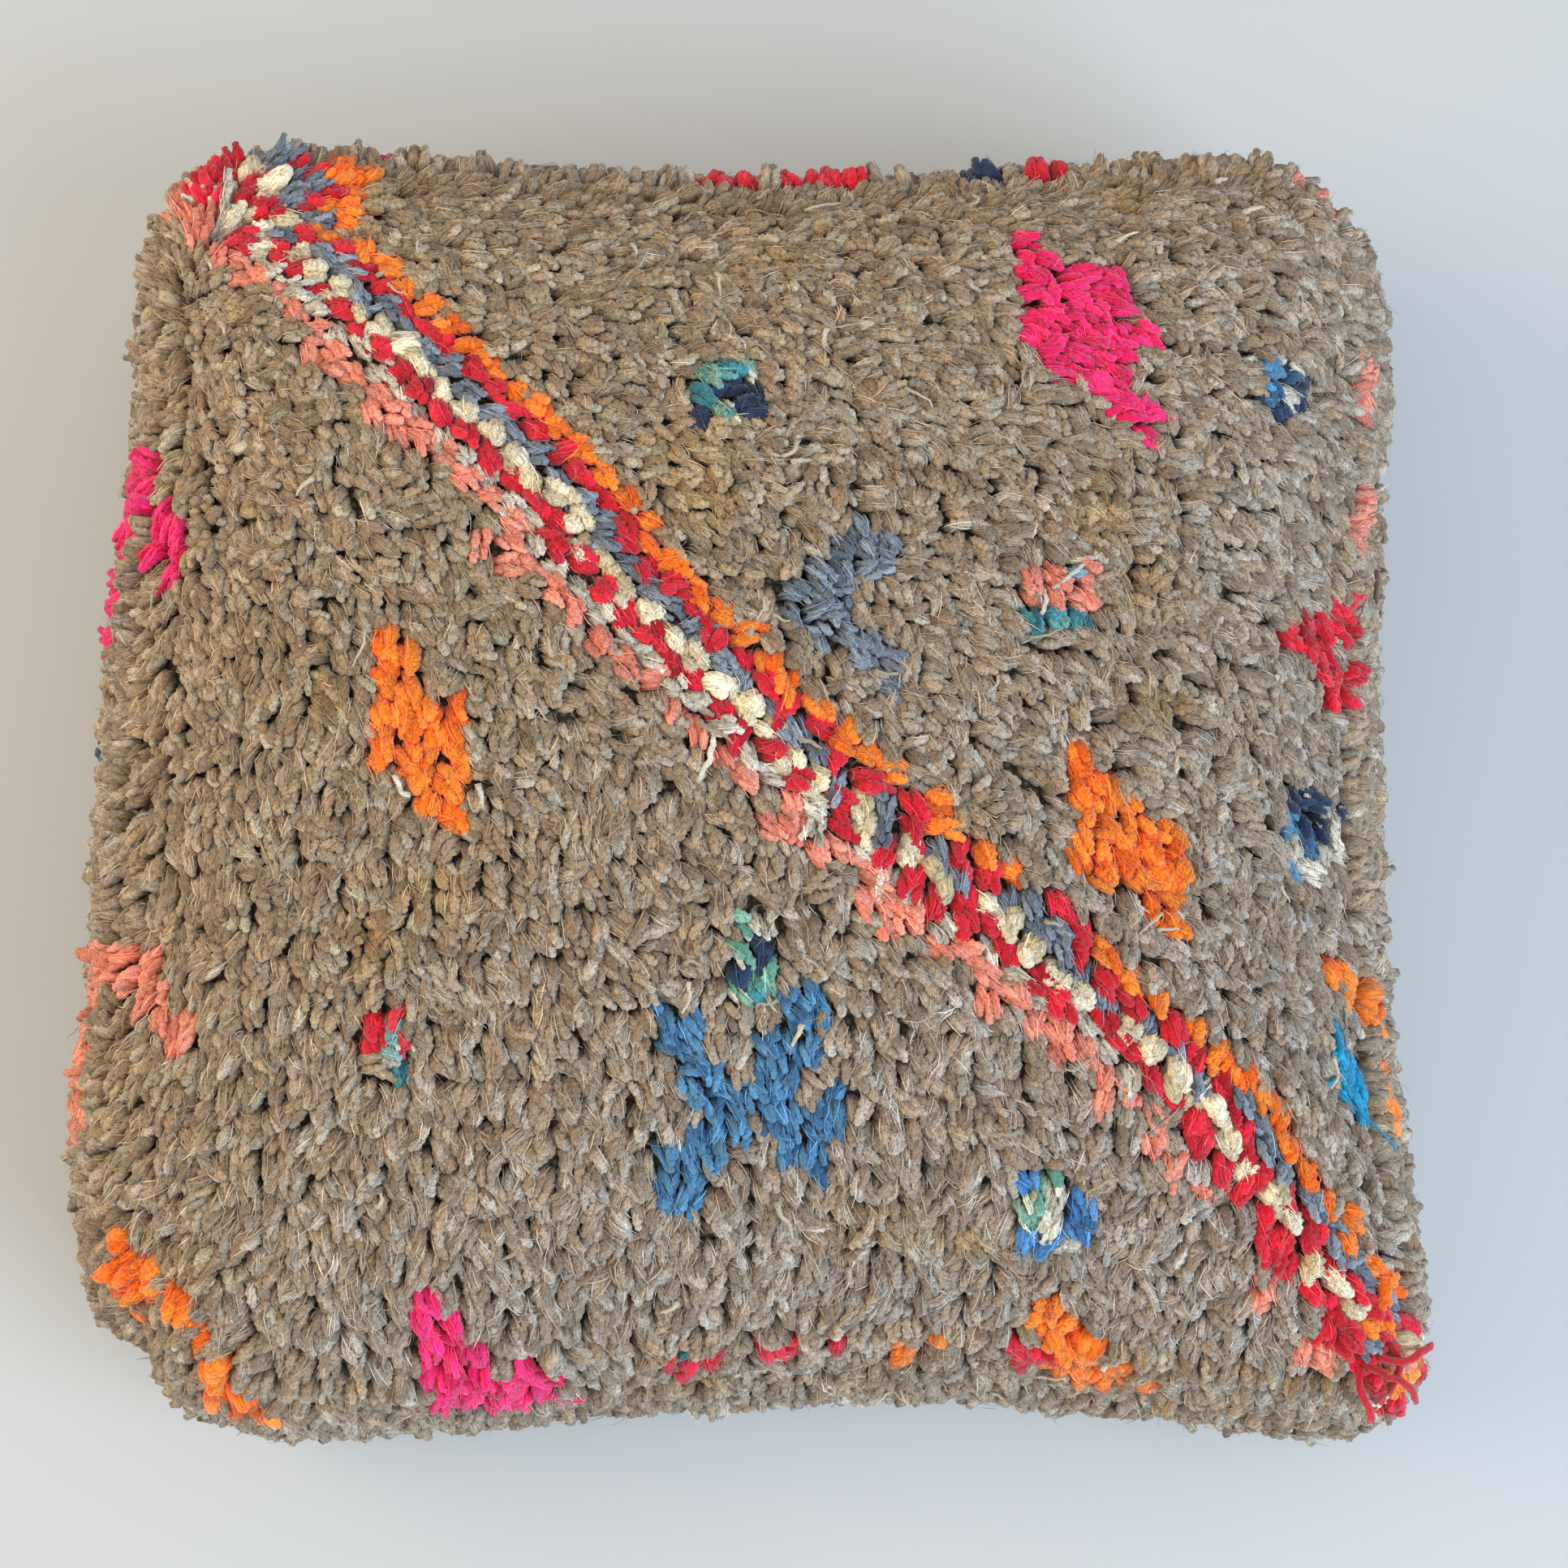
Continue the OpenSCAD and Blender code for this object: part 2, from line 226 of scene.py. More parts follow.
def fill_cover(grids):
    """Sews the panels' grids into one closed cover, fills it by cloth pressure with its base held flat on
    the floor, and returns the grids as the cloth ends."""
    points, faces, numbers = joined(grids)
    _, first, sewn = np.unique(np.round(points, 5), axis=0, return_index=True, return_inverse=True)
    sewn = sewn.ravel()
    cover = add_object("cover", mesh_from("cover", points[first], [sewn[f] for f in faces]))
    held = cover.vertex_groups.new(name="held")
    held.add([int(i) for i in np.unique(sewn[numbers["base"]])], 1.0, "REPLACE")
    cloth = cover.modifiers.new("Cloth", "CLOTH").settings
    for key, value in CLOTH.items():
        setattr(cloth, key, value)
    cloth.vertex_group_mass = held.name
    cloth.effector_weights.gravity = 0
    scene = bpy.context.scene
    for number in range(1, CLOTH_FRAMES + 1):
        scene.frame_set(number)
    result = cover.evaluated_get(bpy.context.evaluated_depsgraph_get()).data
    filled = np.empty(len(result.vertices) * 3, np.float32)
    result.vertices.foreach_get("co", filled)
    filled = filled.reshape(-1, 3).astype(float)
    bpy.data.objects.remove(cover)
    scene.frame_set(1)
    start = points[first]
    move = filled - start
    far = np.linalg.norm(move, axis=1, keepdims=True)
    filled = start + move * (SWELL_CAP * np.tanh(far / SWELL_CAP) / np.maximum(far, 1e-9))
    return {name: filled[sewn[numbers[name]]] for name in grids}


class Panel:
    """A panel of the cover: a grid of points that can be read anywhere, with its normal and directions."""

    def __init__(self, grid):
        self.grid = grid
        self.s_way = unit(np.gradient(grid, axis=0))
        self.t_way = unit(np.gradient(grid, axis=1))
        self.normal = unit(np.cross(self.s_way, self.t_way))

    def read(self, table, s, t):
        """Bilinear value of a table at s and t, each from 0 to 1."""
        rows, cols = table.shape[:2]
        i = np.clip(s, 0, 1) * (rows - 1)
        j = np.clip(t, 0, 1) * (cols - 1)
        i0 = np.minimum(i.astype(int), rows - 2)
        j0 = np.minimum(j.astype(int), cols - 2)
        fi, fj = (i - i0)[..., None], (j - j0)[..., None]
        low = table[i0, j0] * (1 - fi) + table[i0 + 1, j0] * fi
        high = table[i0, j0 + 1] * (1 - fi) + table[i0 + 1, j0 + 1] * fi
        return low * (1 - fj) + high * fj

    def at(self, s, t):
        return self.read(self.grid, s, t)

    def frame_at(self, s, t):
        """Point, normal, and the two directions along the panel."""
        normal = unit(self.read(self.normal, s, t))
        s_way = unit(self.read(self.s_way, s, t))
        return self.at(s, t), normal, s_way, unit(np.cross(normal, s_way))


def unit(v):
    return v / np.maximum(np.linalg.norm(v, axis=-1, keepdims=True), 1e-12)


# ---- numbers for the pile

def rgb(text):
    """Linear colour of a six-digit sRGB hex."""
    parts = np.array([int(text[i:i + 2], 16) for i in (0, 2, 4)]) / 255
    return np.where(parts <= 0.04045, parts / 12.92, ((parts + 0.055) / 1.055) ** 2.4)


SEEDS = {"pattern": 5, "knots": 11, "shades": 77, "fibres": 501, "yarn_ends": 301, "stray_fibres": 302,
         "long_ends": 303}


def seeded(use, panel=None):
    """The random numbers for one use, different on each panel."""
    return np.random.RandomState(SEEDS[use] + (list(PANELS).index(panel) if panel else 0))


def value_noise(x, y, seed):
    """Smooth noise from 0 to 1, one cell to a unit."""
    table = np.random.RandomState(seed).rand(64, 64)
    i, j = np.floor(x).astype(int), np.floor(y).astype(int)
    fx, fy = smooth(x - i), smooth(y - j)
    low = table[i % 64, j % 64] * (1 - fx) + table[(i + 1) % 64, j % 64] * fx
    high = table[i % 64, (j + 1) % 64] * (1 - fx) + table[(i + 1) % 64, (j + 1) % 64] * fx
    return low * (1 - fy) + high * fy


def cloud(x, y, seed):
    """Two octaves of value noise, from 0 to 1."""
    return 0.65 * value_noise(x, y, seed) + 0.35 * value_noise(2.3 * x + 9, 2.3 * y + 4, seed + 1)


def tubes(paths, radii, across, sides, turns, ply):
    """Round strands swept along paths (count, rings, 3). across is a direction square to each path, turns
    how far the cross-section has turned at each ring, and ply how deep the grooves between plies are.
    Returns the points, the faces, and for each point its direction round the strand, its part of a groove
    or ridge, and its level from root to tip."""
    count, rings = radii.shape
    along = unit(np.gradient(paths, axis=1))
    other = unit(np.cross(along, across))
    across = np.cross(other, along)
    step = TAU / sides
    phi = np.arange(sides) * step + turns[..., None]
    ridge = np.where(np.arange(sides) % 2 == 0, 1 + ply[..., None, None], 1 - ply[..., None, None])
    reach = radii[..., None] * ridge
    points = (paths[:, :, None] + (reach * np.cos(phi))[..., None] * across[:, :, None]
              + (reach * np.sin(phi))[..., None] * other[:, :, None])
    tips = paths[:, -1] + along[:, -1] * radii[:, -1, None] * 0.6
    per = rings * sides + 1
    points = np.concatenate([points.reshape(count, rings * sides, 3), tips[:, None]], 1).reshape(-1, 3)
    k = np.arange(sides)
    ring = (np.arange(rings - 1)[:, None] * sides + k).ravel()
    turned = (np.arange(rings - 1)[:, None] * sides + (k + 1) % sides).ravel()
    body = np.stack([ring, turned, turned + sides, ring + sides], 1)
    last = (rings - 1) * sides
    tip = np.stack([last + k, last + (k + 1) % sides, np.full(sides, rings * sides)], 1)
    root = k[::-1][None]
    starts = (np.arange(count) * per)[:, None, None]
    faces = [(f[None] + starts).reshape(-1, f.shape[1]) for f in (body, tip, root)]
    spin = np.concatenate([(phi + 0 * reach).reshape(count, -1), np.zeros((count, 1))], 1)
    crest = np.concatenate([(ridge + 0 * reach).reshape(count, -1), np.ones((count, 1))], 1)
    level = np.repeat(np.linspace(0, 1, rings), sides)
    level = np.concatenate([level, [1.0]])[None] + np.zeros((count, 1))
    return points, faces, spin, crest, level


def lift_off_floor(points, lowest=0.5 * MM, soft=0.8 * MM):
    """Bends what would sink into the floor smoothly up to it."""
    points[:, 2] = lowest + soft * np.logaddexp(0, (points[:, 2] - lowest) / soft)
    return points


# How dark the painted shade at a strand's root is, as a share of its colour
ROOT_SHADE = 0.42


def tube_object(name, strands, colours, seeds, root_shade=ROOT_SHADE):
    """One object of many strands, with each point's colour in "tint", darkened by painted shade towards the
    root and in the grooves between plies, and its place on the strand, for the fibres' streaks, in
    "strand"."""
    points, faces, spin, crest, level = tubes(**strands)
    mesh = mesh_from(name, lift_off_floor(points), faces)
    # Painted shade and light: darker towards the root and in the grooves between the plies, a little
    # lighter on the ridges; where darker the colour is also deeper, painted warm light bounced within the
    # wool
    shade = root_shade + (1 - root_shade) * smooth(level * 1.5)
    shade = (shade * (1 + 0.55 * (crest - 1)))[..., None]
    tint = np.ones((len(points), 4), np.float32)
    tint[:, :3] = (colours[:, None] ** (1 + 0.7 * np.clip(1 - shade, 0, 1)) * shade).reshape(-1, 3)
    mesh.attributes.new("tint", "FLOAT_COLOR", "POINT").data.foreach_set("color", tint.ravel())
    length = np.linalg.norm(np.diff(strands["paths"], axis=1), axis=-1).sum(1) / MM
    place = np.stack([np.cos(spin) + 7 * seeds[:, None], np.sin(spin) + 3 * seeds[:, None],
                      level * length[:, None] * 0.035], -1)
    mesh.attributes.new("strand", "FLOAT_VECTOR", "POINT").data.foreach_set(
        "vector", place.astype(np.float32).ravel())
    return add_object(name, mesh)


# ---- yarns and the pattern

# Each yarn: its colours, strands in a knot, radius and length of a strand in mm, and depth of its plies
YARNS = {
    ".": ("B3A390 BEB1A1 AA9783 C6BEB3 A18C76 B9A58C", 7, 2.4, 11.8, 0.05),
    "s": ("EE9078 F29E88 E4846C", 6, 2.2, 12.5, 0.06),
    "m": ("CFC4B4 E2DACC B9AE9E", 6, 1.9, 12.5, 0.2),
    "r": ("D8142C E2203A C00C22", 5, 2.7, 12.5, 0.05),
    "c": ("E6D5B3 EFE2C6 D6C39D", 3, 3.6, 12.2, 0.03),
    "g": ("7E8898 929CAC 6C7686", 7, 1.8, 13.0, 0.2),
    "o": ("FF7C16 FF8C2C FA6E0E", 4, 3.0, 13.0, 0.05),
    "p": ("F6146E FF2E82 EA085E", 7, 2.0, 13.0, 0.04),
    "b": ("4A80AA 5C94BE 3C6E98", 6, 1.9, 11.5, 0.16),
    "u": ("4888C8 609CD8 3874B0", 5, 2.2, 13.0, 0.12),
    "t": ("30808C 4494A0 286E7A", 5, 2.2, 13.0, 0.12),
    "n": ("1E2E4C 263C60 16223C", 5, 2.5, 13.0, 0.06),
    "y": ("0A96C2 18A8D2 0680AA", 6, 2.0, 13.5, 0.05),
    "k": ("1E2E4C 32688C E6E3DA", 5, 2.3, 13.0, 0.12),
    "q": ("4092A0 68AAAC E6E0CF", 5, 2.3, 13.0, 0.12),
    "e": ("629E8C 90BCAA E1DAC6", 5, 2.3, 13.0, 0.14),
    "z": ("EC907C 7CA4AE E4DED2", 5, 2.3, 13.0, 0.14),
    "v": ("D8343F 8AB0AE E2D8CC", 5, 2.3, 13.0, 0.12),
}
# Squares worked with a thin pale thread among thicker strands: its pale shade comes last
MIXED = "kqezv"

# The diagonal band, one knot to a letter, moves one knot sideways at each row, along a line that wavers
BAND = "smrcgro"
BAND_NEAR_EAR = "s.rcrgo"
BAND_WIDE = "smrrcggr"
EAR_ROWS = 13
WIDE_ROWS = (19, 20)
BAND_LINE = ((0, 53.4), (6, 53.6), (13, 54.8), (20, 53.0), (30, 51.9), (43, 52.9), (55, 52.6))
BAND_ROWS = range(8, 51)

# Motifs: panel, column and row of the first letter, and the rows of knots going down
MOTIFS = (
    ("top", 39, 50, "p..... pp.... ppppp. ppppp. ppppp. pppppp .pppp. .pppp. ...pp. ....pp .....p"),
    ("top", 25, 43, "eqe tnn nen"),
    ("top", 50, 44, "bkn bmn .n."),
    ("top", 29, 36, "...g. ..ggg .ggg. ggg.. ggg.. .ggg. ...gg ....g"),
    ("top", 39, 34, "ssz zss tqt"),
    ("top", 52, 34, "...r .rrr rrr. ..rr ...r"),
    ("top", 41, 26, "o.... oo... ooo.. ooooo ooooo .oooo ...oo ....o"),
    ("top", 52, 25, "nnmk bnnm mbmm bm.."),
    ("top", 54, 15, "y. yy yy .y"),
    ("top", 54, 18, "oo .o"),
    ("top", 12, 31, "o... oo.. oo.. oooo oooo oooo .ooo ..oo ...o"),
    ("top", 24, 16, ".....bb. bb...bb. bb..bbb. .bb.bb.. .bbbbb.b ..bbbbbb .bbb.bbb bbb..bb. bb....b. "
                    "bb......"),
    ("top", 27, 19, "em en ne eq"),
    ("top", 12, 15, "rv rv .t"),
    ("top", 39, 8, "ue. emu emu uum"),
    ("top", 14, 3, "p... pp.. pp.. ppp."),
    ("top", 40, 1, "o. oo"),
    ("top", 0, 5, "o.... ooo.. oo.o. oo.o. ...oo ....o"),
    ("top", 0, 18, "ss... ss... .ss.. ..sss ...ss"),
    ("top", 0, 38, "p. pp pp .p"),
    ("top", 53, 55, "sss .ss"),
    ("top", 0, 55, "smrrggr.o. smrrcggroo ssrmrcggro ssrmrcgroo .ssmcrcggo"),
    ("top", 49, 7, "rcrgo.. rrrgo.. .rcrgo. s.rcrgo s..rcrg ...rroo ..ssrgr ...s.rr"),
    ("front", 14, 15, "ppp.p. .pppp. .ppppp ..pppp ...ppp"),
    ("front", 40, 15, "ooo.. ooo.. oooo. oooo. .oooo"),
    ("front", 4, 15, "oo.. .oo. .oo. ..oo"),
    ("front", 24, 14, "rtr .r."),
    ("front", 28, 14, "rr.r..oo..rr .r....o....r"),
    ("front", 8, 7, "..gg .gg. gg.. .gg. ..gg"),
    ("right", 43, 15, "sss sss"),
    ("right", 36, 15, ".sss sss."),
    ("right", 30, 15, "rr.rr .r.r."),
    ("right", 16, 15, "oo. ooo"),
    ("right", 12, 14, "oo. ooo .oo"),
    ("right", 46, 7, "b..b .bb. b..b"),
    ("right", 25, 6, "kn nk kn"),
    ("back", 41, 14, "ppppp .ppp."),
    ("back", 28, 15, "rrr rrr"),
    ("back", 23, 15, "rrrr .rr."),
    ("back", 17, 15, "nn nt"),
    ("back", 14, 15, "rr rr"),
    ("back", 0, 15, "sss ss."),
    ("back", 33, 8, "..oo .oo. oo.. oo.."),
    ("back", 8, 7, "zs qz sz"),
    ("left", 15, 15, "ppp. pppp pppp pppp .ppp .ppp"),
    ("left", 20, 13, "pp.. ppp. pppp pppp pppp"),
    ("left", 27, 10, "tr nt tn"),
    ("left", 36, 15, ".ss...... sss...... sss...ss. sss...sss .ssss.sss .ssssssss ..ssssss."),
    ("left", 51, 15, "ooo .oo"),
    ("left", 6, 6, "gg.. .gg. ..gg"),
)
# The sides' columns where the band runs over the corner in an ear, and how many rows it takes
EARS = (("front", range(55, KNOTS)), ("right", range(0, 3)), ("back", range(53, KNOTS)),
        ("left", range(0, 1)))
EAR_DEPTH = 4
EAR_YARNS = "rscgrmor"


def pattern():
    """The yarn's letter for each knot of each panel, by column and row."""
    letters = {"top": np.full((KNOTS, KNOTS), ".")}
    for side in SIDES:
        letters[side] = np.full((KNOTS, SIDE_ROWS), ".")
    rng = seeded("pattern")
    for row in BAND_ROWS:
        band = BAND_NEAR_EAR if row < EAR_ROWS else BAND_WIDE if row in WIDE_ROWS else BAND
        start = np.interp(row, *zip(*BAND_LINE)) - row + rng.uniform(-0.3, 0.3)
        if rng.rand() < 0.35:
            start, band = start - 1, "s" + band
        for step, letter in enumerate(band):
            column = int(round(start)) + step
            if 0 <= column < KNOTS and letter != ".":
                letters["top"][column, row] = letter
    for side, columns in EARS:
        for column in columns:
            for row in range(SIDE_ROWS - EAR_DEPTH, SIDE_ROWS):
                letters[side][column, row] = EAR_YARNS[rng.randint(len(EAR_YARNS))]
    for panel, column, row, rows in MOTIFS:
        for down, line in enumerate(rows.split()):
            for step, letter in enumerate(line):
                if letter != ".":
                    letters[panel][column + step, row - down] = letter
    return letters


def ear_weight(s, t):
    """How near a knot of the top is to each of the two ears, s and t from -1 to 1."""
    return smooth((-s + t - 1.5) / 0.4), smooth((s - t - 1.58) / 0.35)


def lay_of(panel, s, t, rng):
    """The way each knot's tips point, as an angle in the panel's plane: along the near side they hang
    towards it, and they turn round to the right towards the far side. In the ears they fan outwards, and
    along the left and far seams they lie out over the seam."""
    wander = 30 * (cloud(5 * s + 3, 5 * t + 7, 31) - 0.5) + rng.normal(0, 14, len(s))
    if panel != "top":
        return np.radians(-90 + 1.6 * wander)
    angle = -52 + 40 * t - 14 * smooth((-s - 0.2) / 0.6) * smooth((0.9 - t) / 0.8) + wander
    far_ear, near_ear = ear_weight(s, t)
    column, row = (s + 1) / 2 * KNOTS, (t + 1) / 2 * KNOTS
    fan_far = 104 - 7 * column + 0.3 * wander
    fan_near = np.minimum(-72 + 14 * row, -8) + 0.5 * wander
    over_left, over_far = (1.6 * smooth((a - 0.92) / 0.06) * (1 - far_ear) for a in (-s, t))
    parts = ((1 - far_ear - near_ear, angle), (far_ear, fan_far), (near_ear, fan_near),
             (over_left, 180 + wander), (over_far, 90 + wander))
    return np.angle(sum(weight * np.exp(1j * np.radians(way)) for weight, way in parts))


# Steps of this share spread a knot's strands evenly over its depth
GOLDEN = 0.618
# How thick a knot's strand is at each of its rings, from root to tip
STRAND_BULK = np.array([0.85, 1.02, 1.10, 1.10, 1.0, 0.68])


def yarn_number(yarn, place):
    """One of the numbers of YARNS for each strand."""
    return np.array([YARNS[letter][place] for letter in yarn])


def knot_roots(panel, letters, rng):
    """Each strand's knot, yarn, place across the knot from -0.5 to 0.5 and looseness, and where it leaves
    the ground. The natural wool's knots differ by a strand, and on the sides they have one fewer."""
    columns, rows = letters.shape
    letter = letters.ravel()
    more = rng.choice((-1, 0, 1), len(letter)) - (0 if panel == "top" else 1)
    counts = yarn_number(letter, 1) + more * (letter == ".")
    knot = np.repeat(np.arange(len(letter)), counts)
    order = np.arange(len(knot)) - np.repeat(np.cumsum(counts) - counts, counts)
    spread = (order + 0.5) / counts[knot] - 0.5
    yarn = letter[knot]
    natural = yarn == "."
    jitter = np.where(natural, 1.0, 0.75)
    shift = rng.normal(0, 0.10, len(letter))[knot] * jitter
    drop = rng.normal(0, 0.13, len(letter))[knot] * jitter
    wide, long = np.where(natural, 0.86, 0.84), np.where(natural, 0.78, 0.8)
    deep = (order * GOLDEN + rng.rand(len(letter))[knot]) % 1 - 0.5
    s = (knot // rows + 0.5 + shift + wide * spread + rng.normal(0, 0.05, len(knot))) / columns
    t = (knot % rows + 0.5 + drop + long * deep + rng.normal(0, 0.06, len(knot))) / rows
    s, t = np.clip(s, 0.005 if panel == "top" else 0.002, 0.998), np.clip(t, 0.004, 0.992)
    return knot, yarn, spread, jitter, s, t


def strand_sizes(panel, yarn, knot, s, t, rng):
    """A number that picks each strand's shade, and its radius and length: the strands are longer at the
    far ear and on the sides, and a mixed yarn's last shade is the thin one."""
    pick = rng.rand(len(knot))
    radius = yarn_number(yarn, 2) * MM * rng.uniform(0.82, 1.18, len(knot))
    radius *= 1 if panel == "top" else 1.12
    radius *= np.where(np.isin(yarn, list(MIXED)), np.where(pick > 2 / 3, 0.62, 1.12), 1)
    size = rng.uniform(0.90, 1.18, knot.max() + 1)[knot]
    length = yarn_number(yarn, 3) * MM * rng.uniform(0.85, 1.15, len(knot)) * size
    if panel == "top":
        far_ear, near_ear = ear_weight(2 * s - 1, 2 * t - 1)
        length *= 1 + 0.40 * far_ear - 0.12 * near_ear
    else:
        length *= 1.12 + (0.35 * smooth((0.32 - s) / 0.2) if panel == "left" else 0)
    return pick, radius, length


def knot_strands(panel, letters):
    """All the strands of one panel's pile, with the yarn, knot, place and pick of each. A strand rises from
    its root and falls over along its lay, curling a little."""
    rng = seeded("knots", panel)
    columns, rows = letters.shape
    knot, yarn, spread, jitter, s, t = knot_roots(panel, letters, rng)
    base, normal, s_way, t_way = PANELS[panel].frame_at(s, t)
    c, r = np.divmod(np.arange(letters.size), rows)
    angle = lay_of(panel, 2 * (c + 0.5) / columns - 1, 2 * (r + 0.5) / rows - 1, rng)[knot]
    angle = angle + rng.normal(0, 0.20, len(knot)) * jitter - spread * 0.6
    lay = unit(np.cos(angle)[:, None] * s_way + np.sin(angle)[:, None] * t_way)
    pick, radius, length = strand_sizes(panel, yarn, knot, s, t, rng)
    ear, near_floor, seam_row = 0 * s, 0 * s, 0 * s
    # On the top the roots lie back, so that the strands cover their own knot, but not at its edges
    if panel == "top":
        inside = 1 - np.maximum(np.abs(2 * s - 1), np.abs(2 * t - 1)) ** 14
        base = base - lay * (3.5 * MM * inside)[:, None]
        ear = np.maximum(*ear_weight(2 * s - 1, 2 * t - 1))
    else:
        near_floor = smooth((0.18 - t) / 0.18)
        seam_row = t > 1 - 1 / rows
    rings = len(STRAND_BULK)
    tau = np.linspace(0, 1, rings)
    rise = np.radians(rng.uniform(0, 26, len(knot)) + 10 * np.abs(spread) - 10 * near_floor)
    # The strands stand up more by the floor, in the ears and in the row under the top seam
    fall = rng.uniform(62, 104, letters.size)[knot] + rng.normal(0, 9, len(knot))
    fall = np.radians(fall - 30 * near_floor - 25 * ear - 45 * seam_row)
    lean = rise[:, None] + (fall - rise)[:, None] * smooth(tau * 1.1)
    curl = rng.normal(0, 0.45, letters.size)[knot] * jitter + rng.normal(0, 0.18, len(knot)) * jitter
    curl = curl[:, None] * tau
    side_way = np.cross(normal, lay)
    heading = lay[:, None] * np.cos(curl)[..., None] + side_way[:, None] * np.sin(curl)[..., None]
    direction = np.cos(lean)[..., None] * normal[:, None] + np.sin(lean)[..., None] * heading
    steps = direction * (length / (rings - 1))[:, None, None]
    paths = base[:, None] - normal[:, None] * 1.0 * MM + np.cumsum(steps, 1) - steps[:, :1]
    wobble = 1 + rng.normal(0, 0.05, (len(knot), rings))
    radii = radius[:, None] * STRAND_BULK * wobble
    hand = rng.uniform(0, TAU, len(knot))[:, None] + tau * length[:, None] / (7 * MM) * TAU / 3
    across = np.repeat(side_way[:, None], rings, 1)
    strands = dict(paths=paths, radii=radii, across=across, turns=hand, ply=yarn_number(yarn, 4))
    return strands, yarn, knot, (s, t), pick


def strand_colours(panel, yarn, knot, place, pick):
    """A colour for each strand: its yarn's shades, and for the natural wool a drift over the panel, browner
    towards the far side and greyer towards the near right."""
    rng = seeded("shades", panel)
    s, t = place
    shades = {letter: np.array([rgb(x) for x in YARNS[letter][0].split()]) for letter in YARNS}
    per_knot = rng.rand(knot.max() + 1)
    drift = cloud(6 * s + 2, 6 * t + 5, 41)
    colours = np.empty((len(yarn), 3))
    for letter in np.unique(yarn):
        here = yarn == letter
        table = shades[letter]
        if letter == ".":
            blend = 0.45 * per_knot[knot[here]] + 0.35 * pick[here] + 0.20 * drift[here]
            index = ((blend * 3.3) % 1 * len(table)).astype(int)
        elif letter in MIXED:
            index = (pick[here] * len(table)).astype(int)
        else:
            index = ((0.5 * per_knot[knot[here]] + 0.5 * pick[here]) * len(table)).astype(int)
        colours[here] = table[index]
    grey = smooth((s - t + 0.6) / 1.4) if panel == "top" else np.full(len(s), 0.5)
    brown = rgb("FFF3E0") * (1 - grey)[:, None] + rgb("FAF6FA") * grey[:, None]
    golden = smooth((cloud(9 * s + 8, 9 * t + 1, 55) - 0.70) / 0.2)[:, None]
    natural = colours * brown * (1 - golden * (1 - rgb("FFF3D2")))
    colours = np.where((yarn == ".")[:, None], natural, colours)
    colours *= (np.where(yarn == ".", 0.68, 0.78) + 0.48 * rng.rand(len(yarn)))[:, None]
    return colours


# The rings of a strand that a fibre on it follows
FIBRE_RINGS = [0, 2, 3, 5]


def hugging_fibres(strands, colours, share, rng):
    """Fine fibres that lie along some of the strands, drifting round them and lifting off at their ends.
    Most
    are paler than their strand: pale wool, brightened further as painted highlights.
    """
    chosen = np.repeat(np.arange(len(colours)), rng.poisson(share, len(colours)))
    paths, radii, across = (strands[key][chosen][:, FIBRE_RINGS] for key in ("paths", "radii", "across"))
    count, rings = radii.shape
    along = unit(np.gradient(paths, axis=1))
    other = unit(np.cross(along, across))
    across = np.cross(other, along)
    tau = np.array(FIBRE_RINGS) / (len(STRAND_BULK) - 1)
    angle = TAU / 4 + rng.normal(0, 0.75, count)[:, None] + rng.normal(0, 1.7, count)[:, None] * (tau - 0.5)
    lift = radii * 1.02 + (0.25 + rng.uniform(0, 1.4, count)[:, None] * (2 * np.abs(tau - 0.45)) ** 3) * MM
    drift = along * (rng.normal(0, 1.6, count) * MM)[:, None, None]
    outward = np.cos(angle)[..., None] * across + np.sin(angle)[..., None] * other
    lines = paths + drift + lift[..., None] * outward
    fine = rng.uniform(0.16, 0.30, count)[:, None] * MM * np.array([0.6, 1, 1, 0.5])
    # Pale fibres, brightened further as painted highlights
    tints = colours[chosen] * rng.uniform(0.9, 2.2, (count, 1)) + 0.04
    none = np.zeros((count, rings))
    return dict(paths=lines, radii=fine, across=across, turns=none, ply=none[:, 0]), tints


def pick_strands(strands, chosen):
    return {key: value[chosen] for key, value in strands.items()}


# ---- materials

def new_material(name):
    """A material with a Principled shader, and short ways to add nodes and to set the shader's inputs. An
    input is a value or a socket to join; a node's are given in order or by name, and its properties by
    name after n_."""
    material = bpy.data.materials.new(name)
    material.use_nodes = True
    tree = material.node_tree
    shader = tree.nodes["Principled BSDF"]

    def fill(socket, value):
        if isinstance(value, bpy.types.NodeSocket):
            tree.links.new(value, socket)
        else:
            socket.default_value = value

    def node(kind, *in_order, **named):
        made = tree.nodes.new(kind)
        for key in [key for key in named if key.startswith("n_")]:
            setattr(made, key[2:], named.pop(key))
        for number, value in enumerate(in_order):
            fill(made.inputs[number], value)
        for key, value in named.items():
            fill(made.inputs[key.replace("_", " ")], value)
        return made

    def to_shader(name, value):
        fill(shader.inputs[name.replace("_", " ")], value)

    return material, node, to_shader


def colour4(hex_text):
    return (*rgb(hex_text), 1.0)


def ramp(node, factor, stops):
    """A colour ramp over factor, stops being (place, hex)."""
    made = node("ShaderNodeValToRGB", Fac=factor)
    points = made.color_ramp.elements
    for number, (place, hex_text) in enumerate(stops):
        point = points[number] if number < 2 else points.new(place)
        point.position = place
        point.color = colour4(hex_text)
    return made.outputs["Color"]


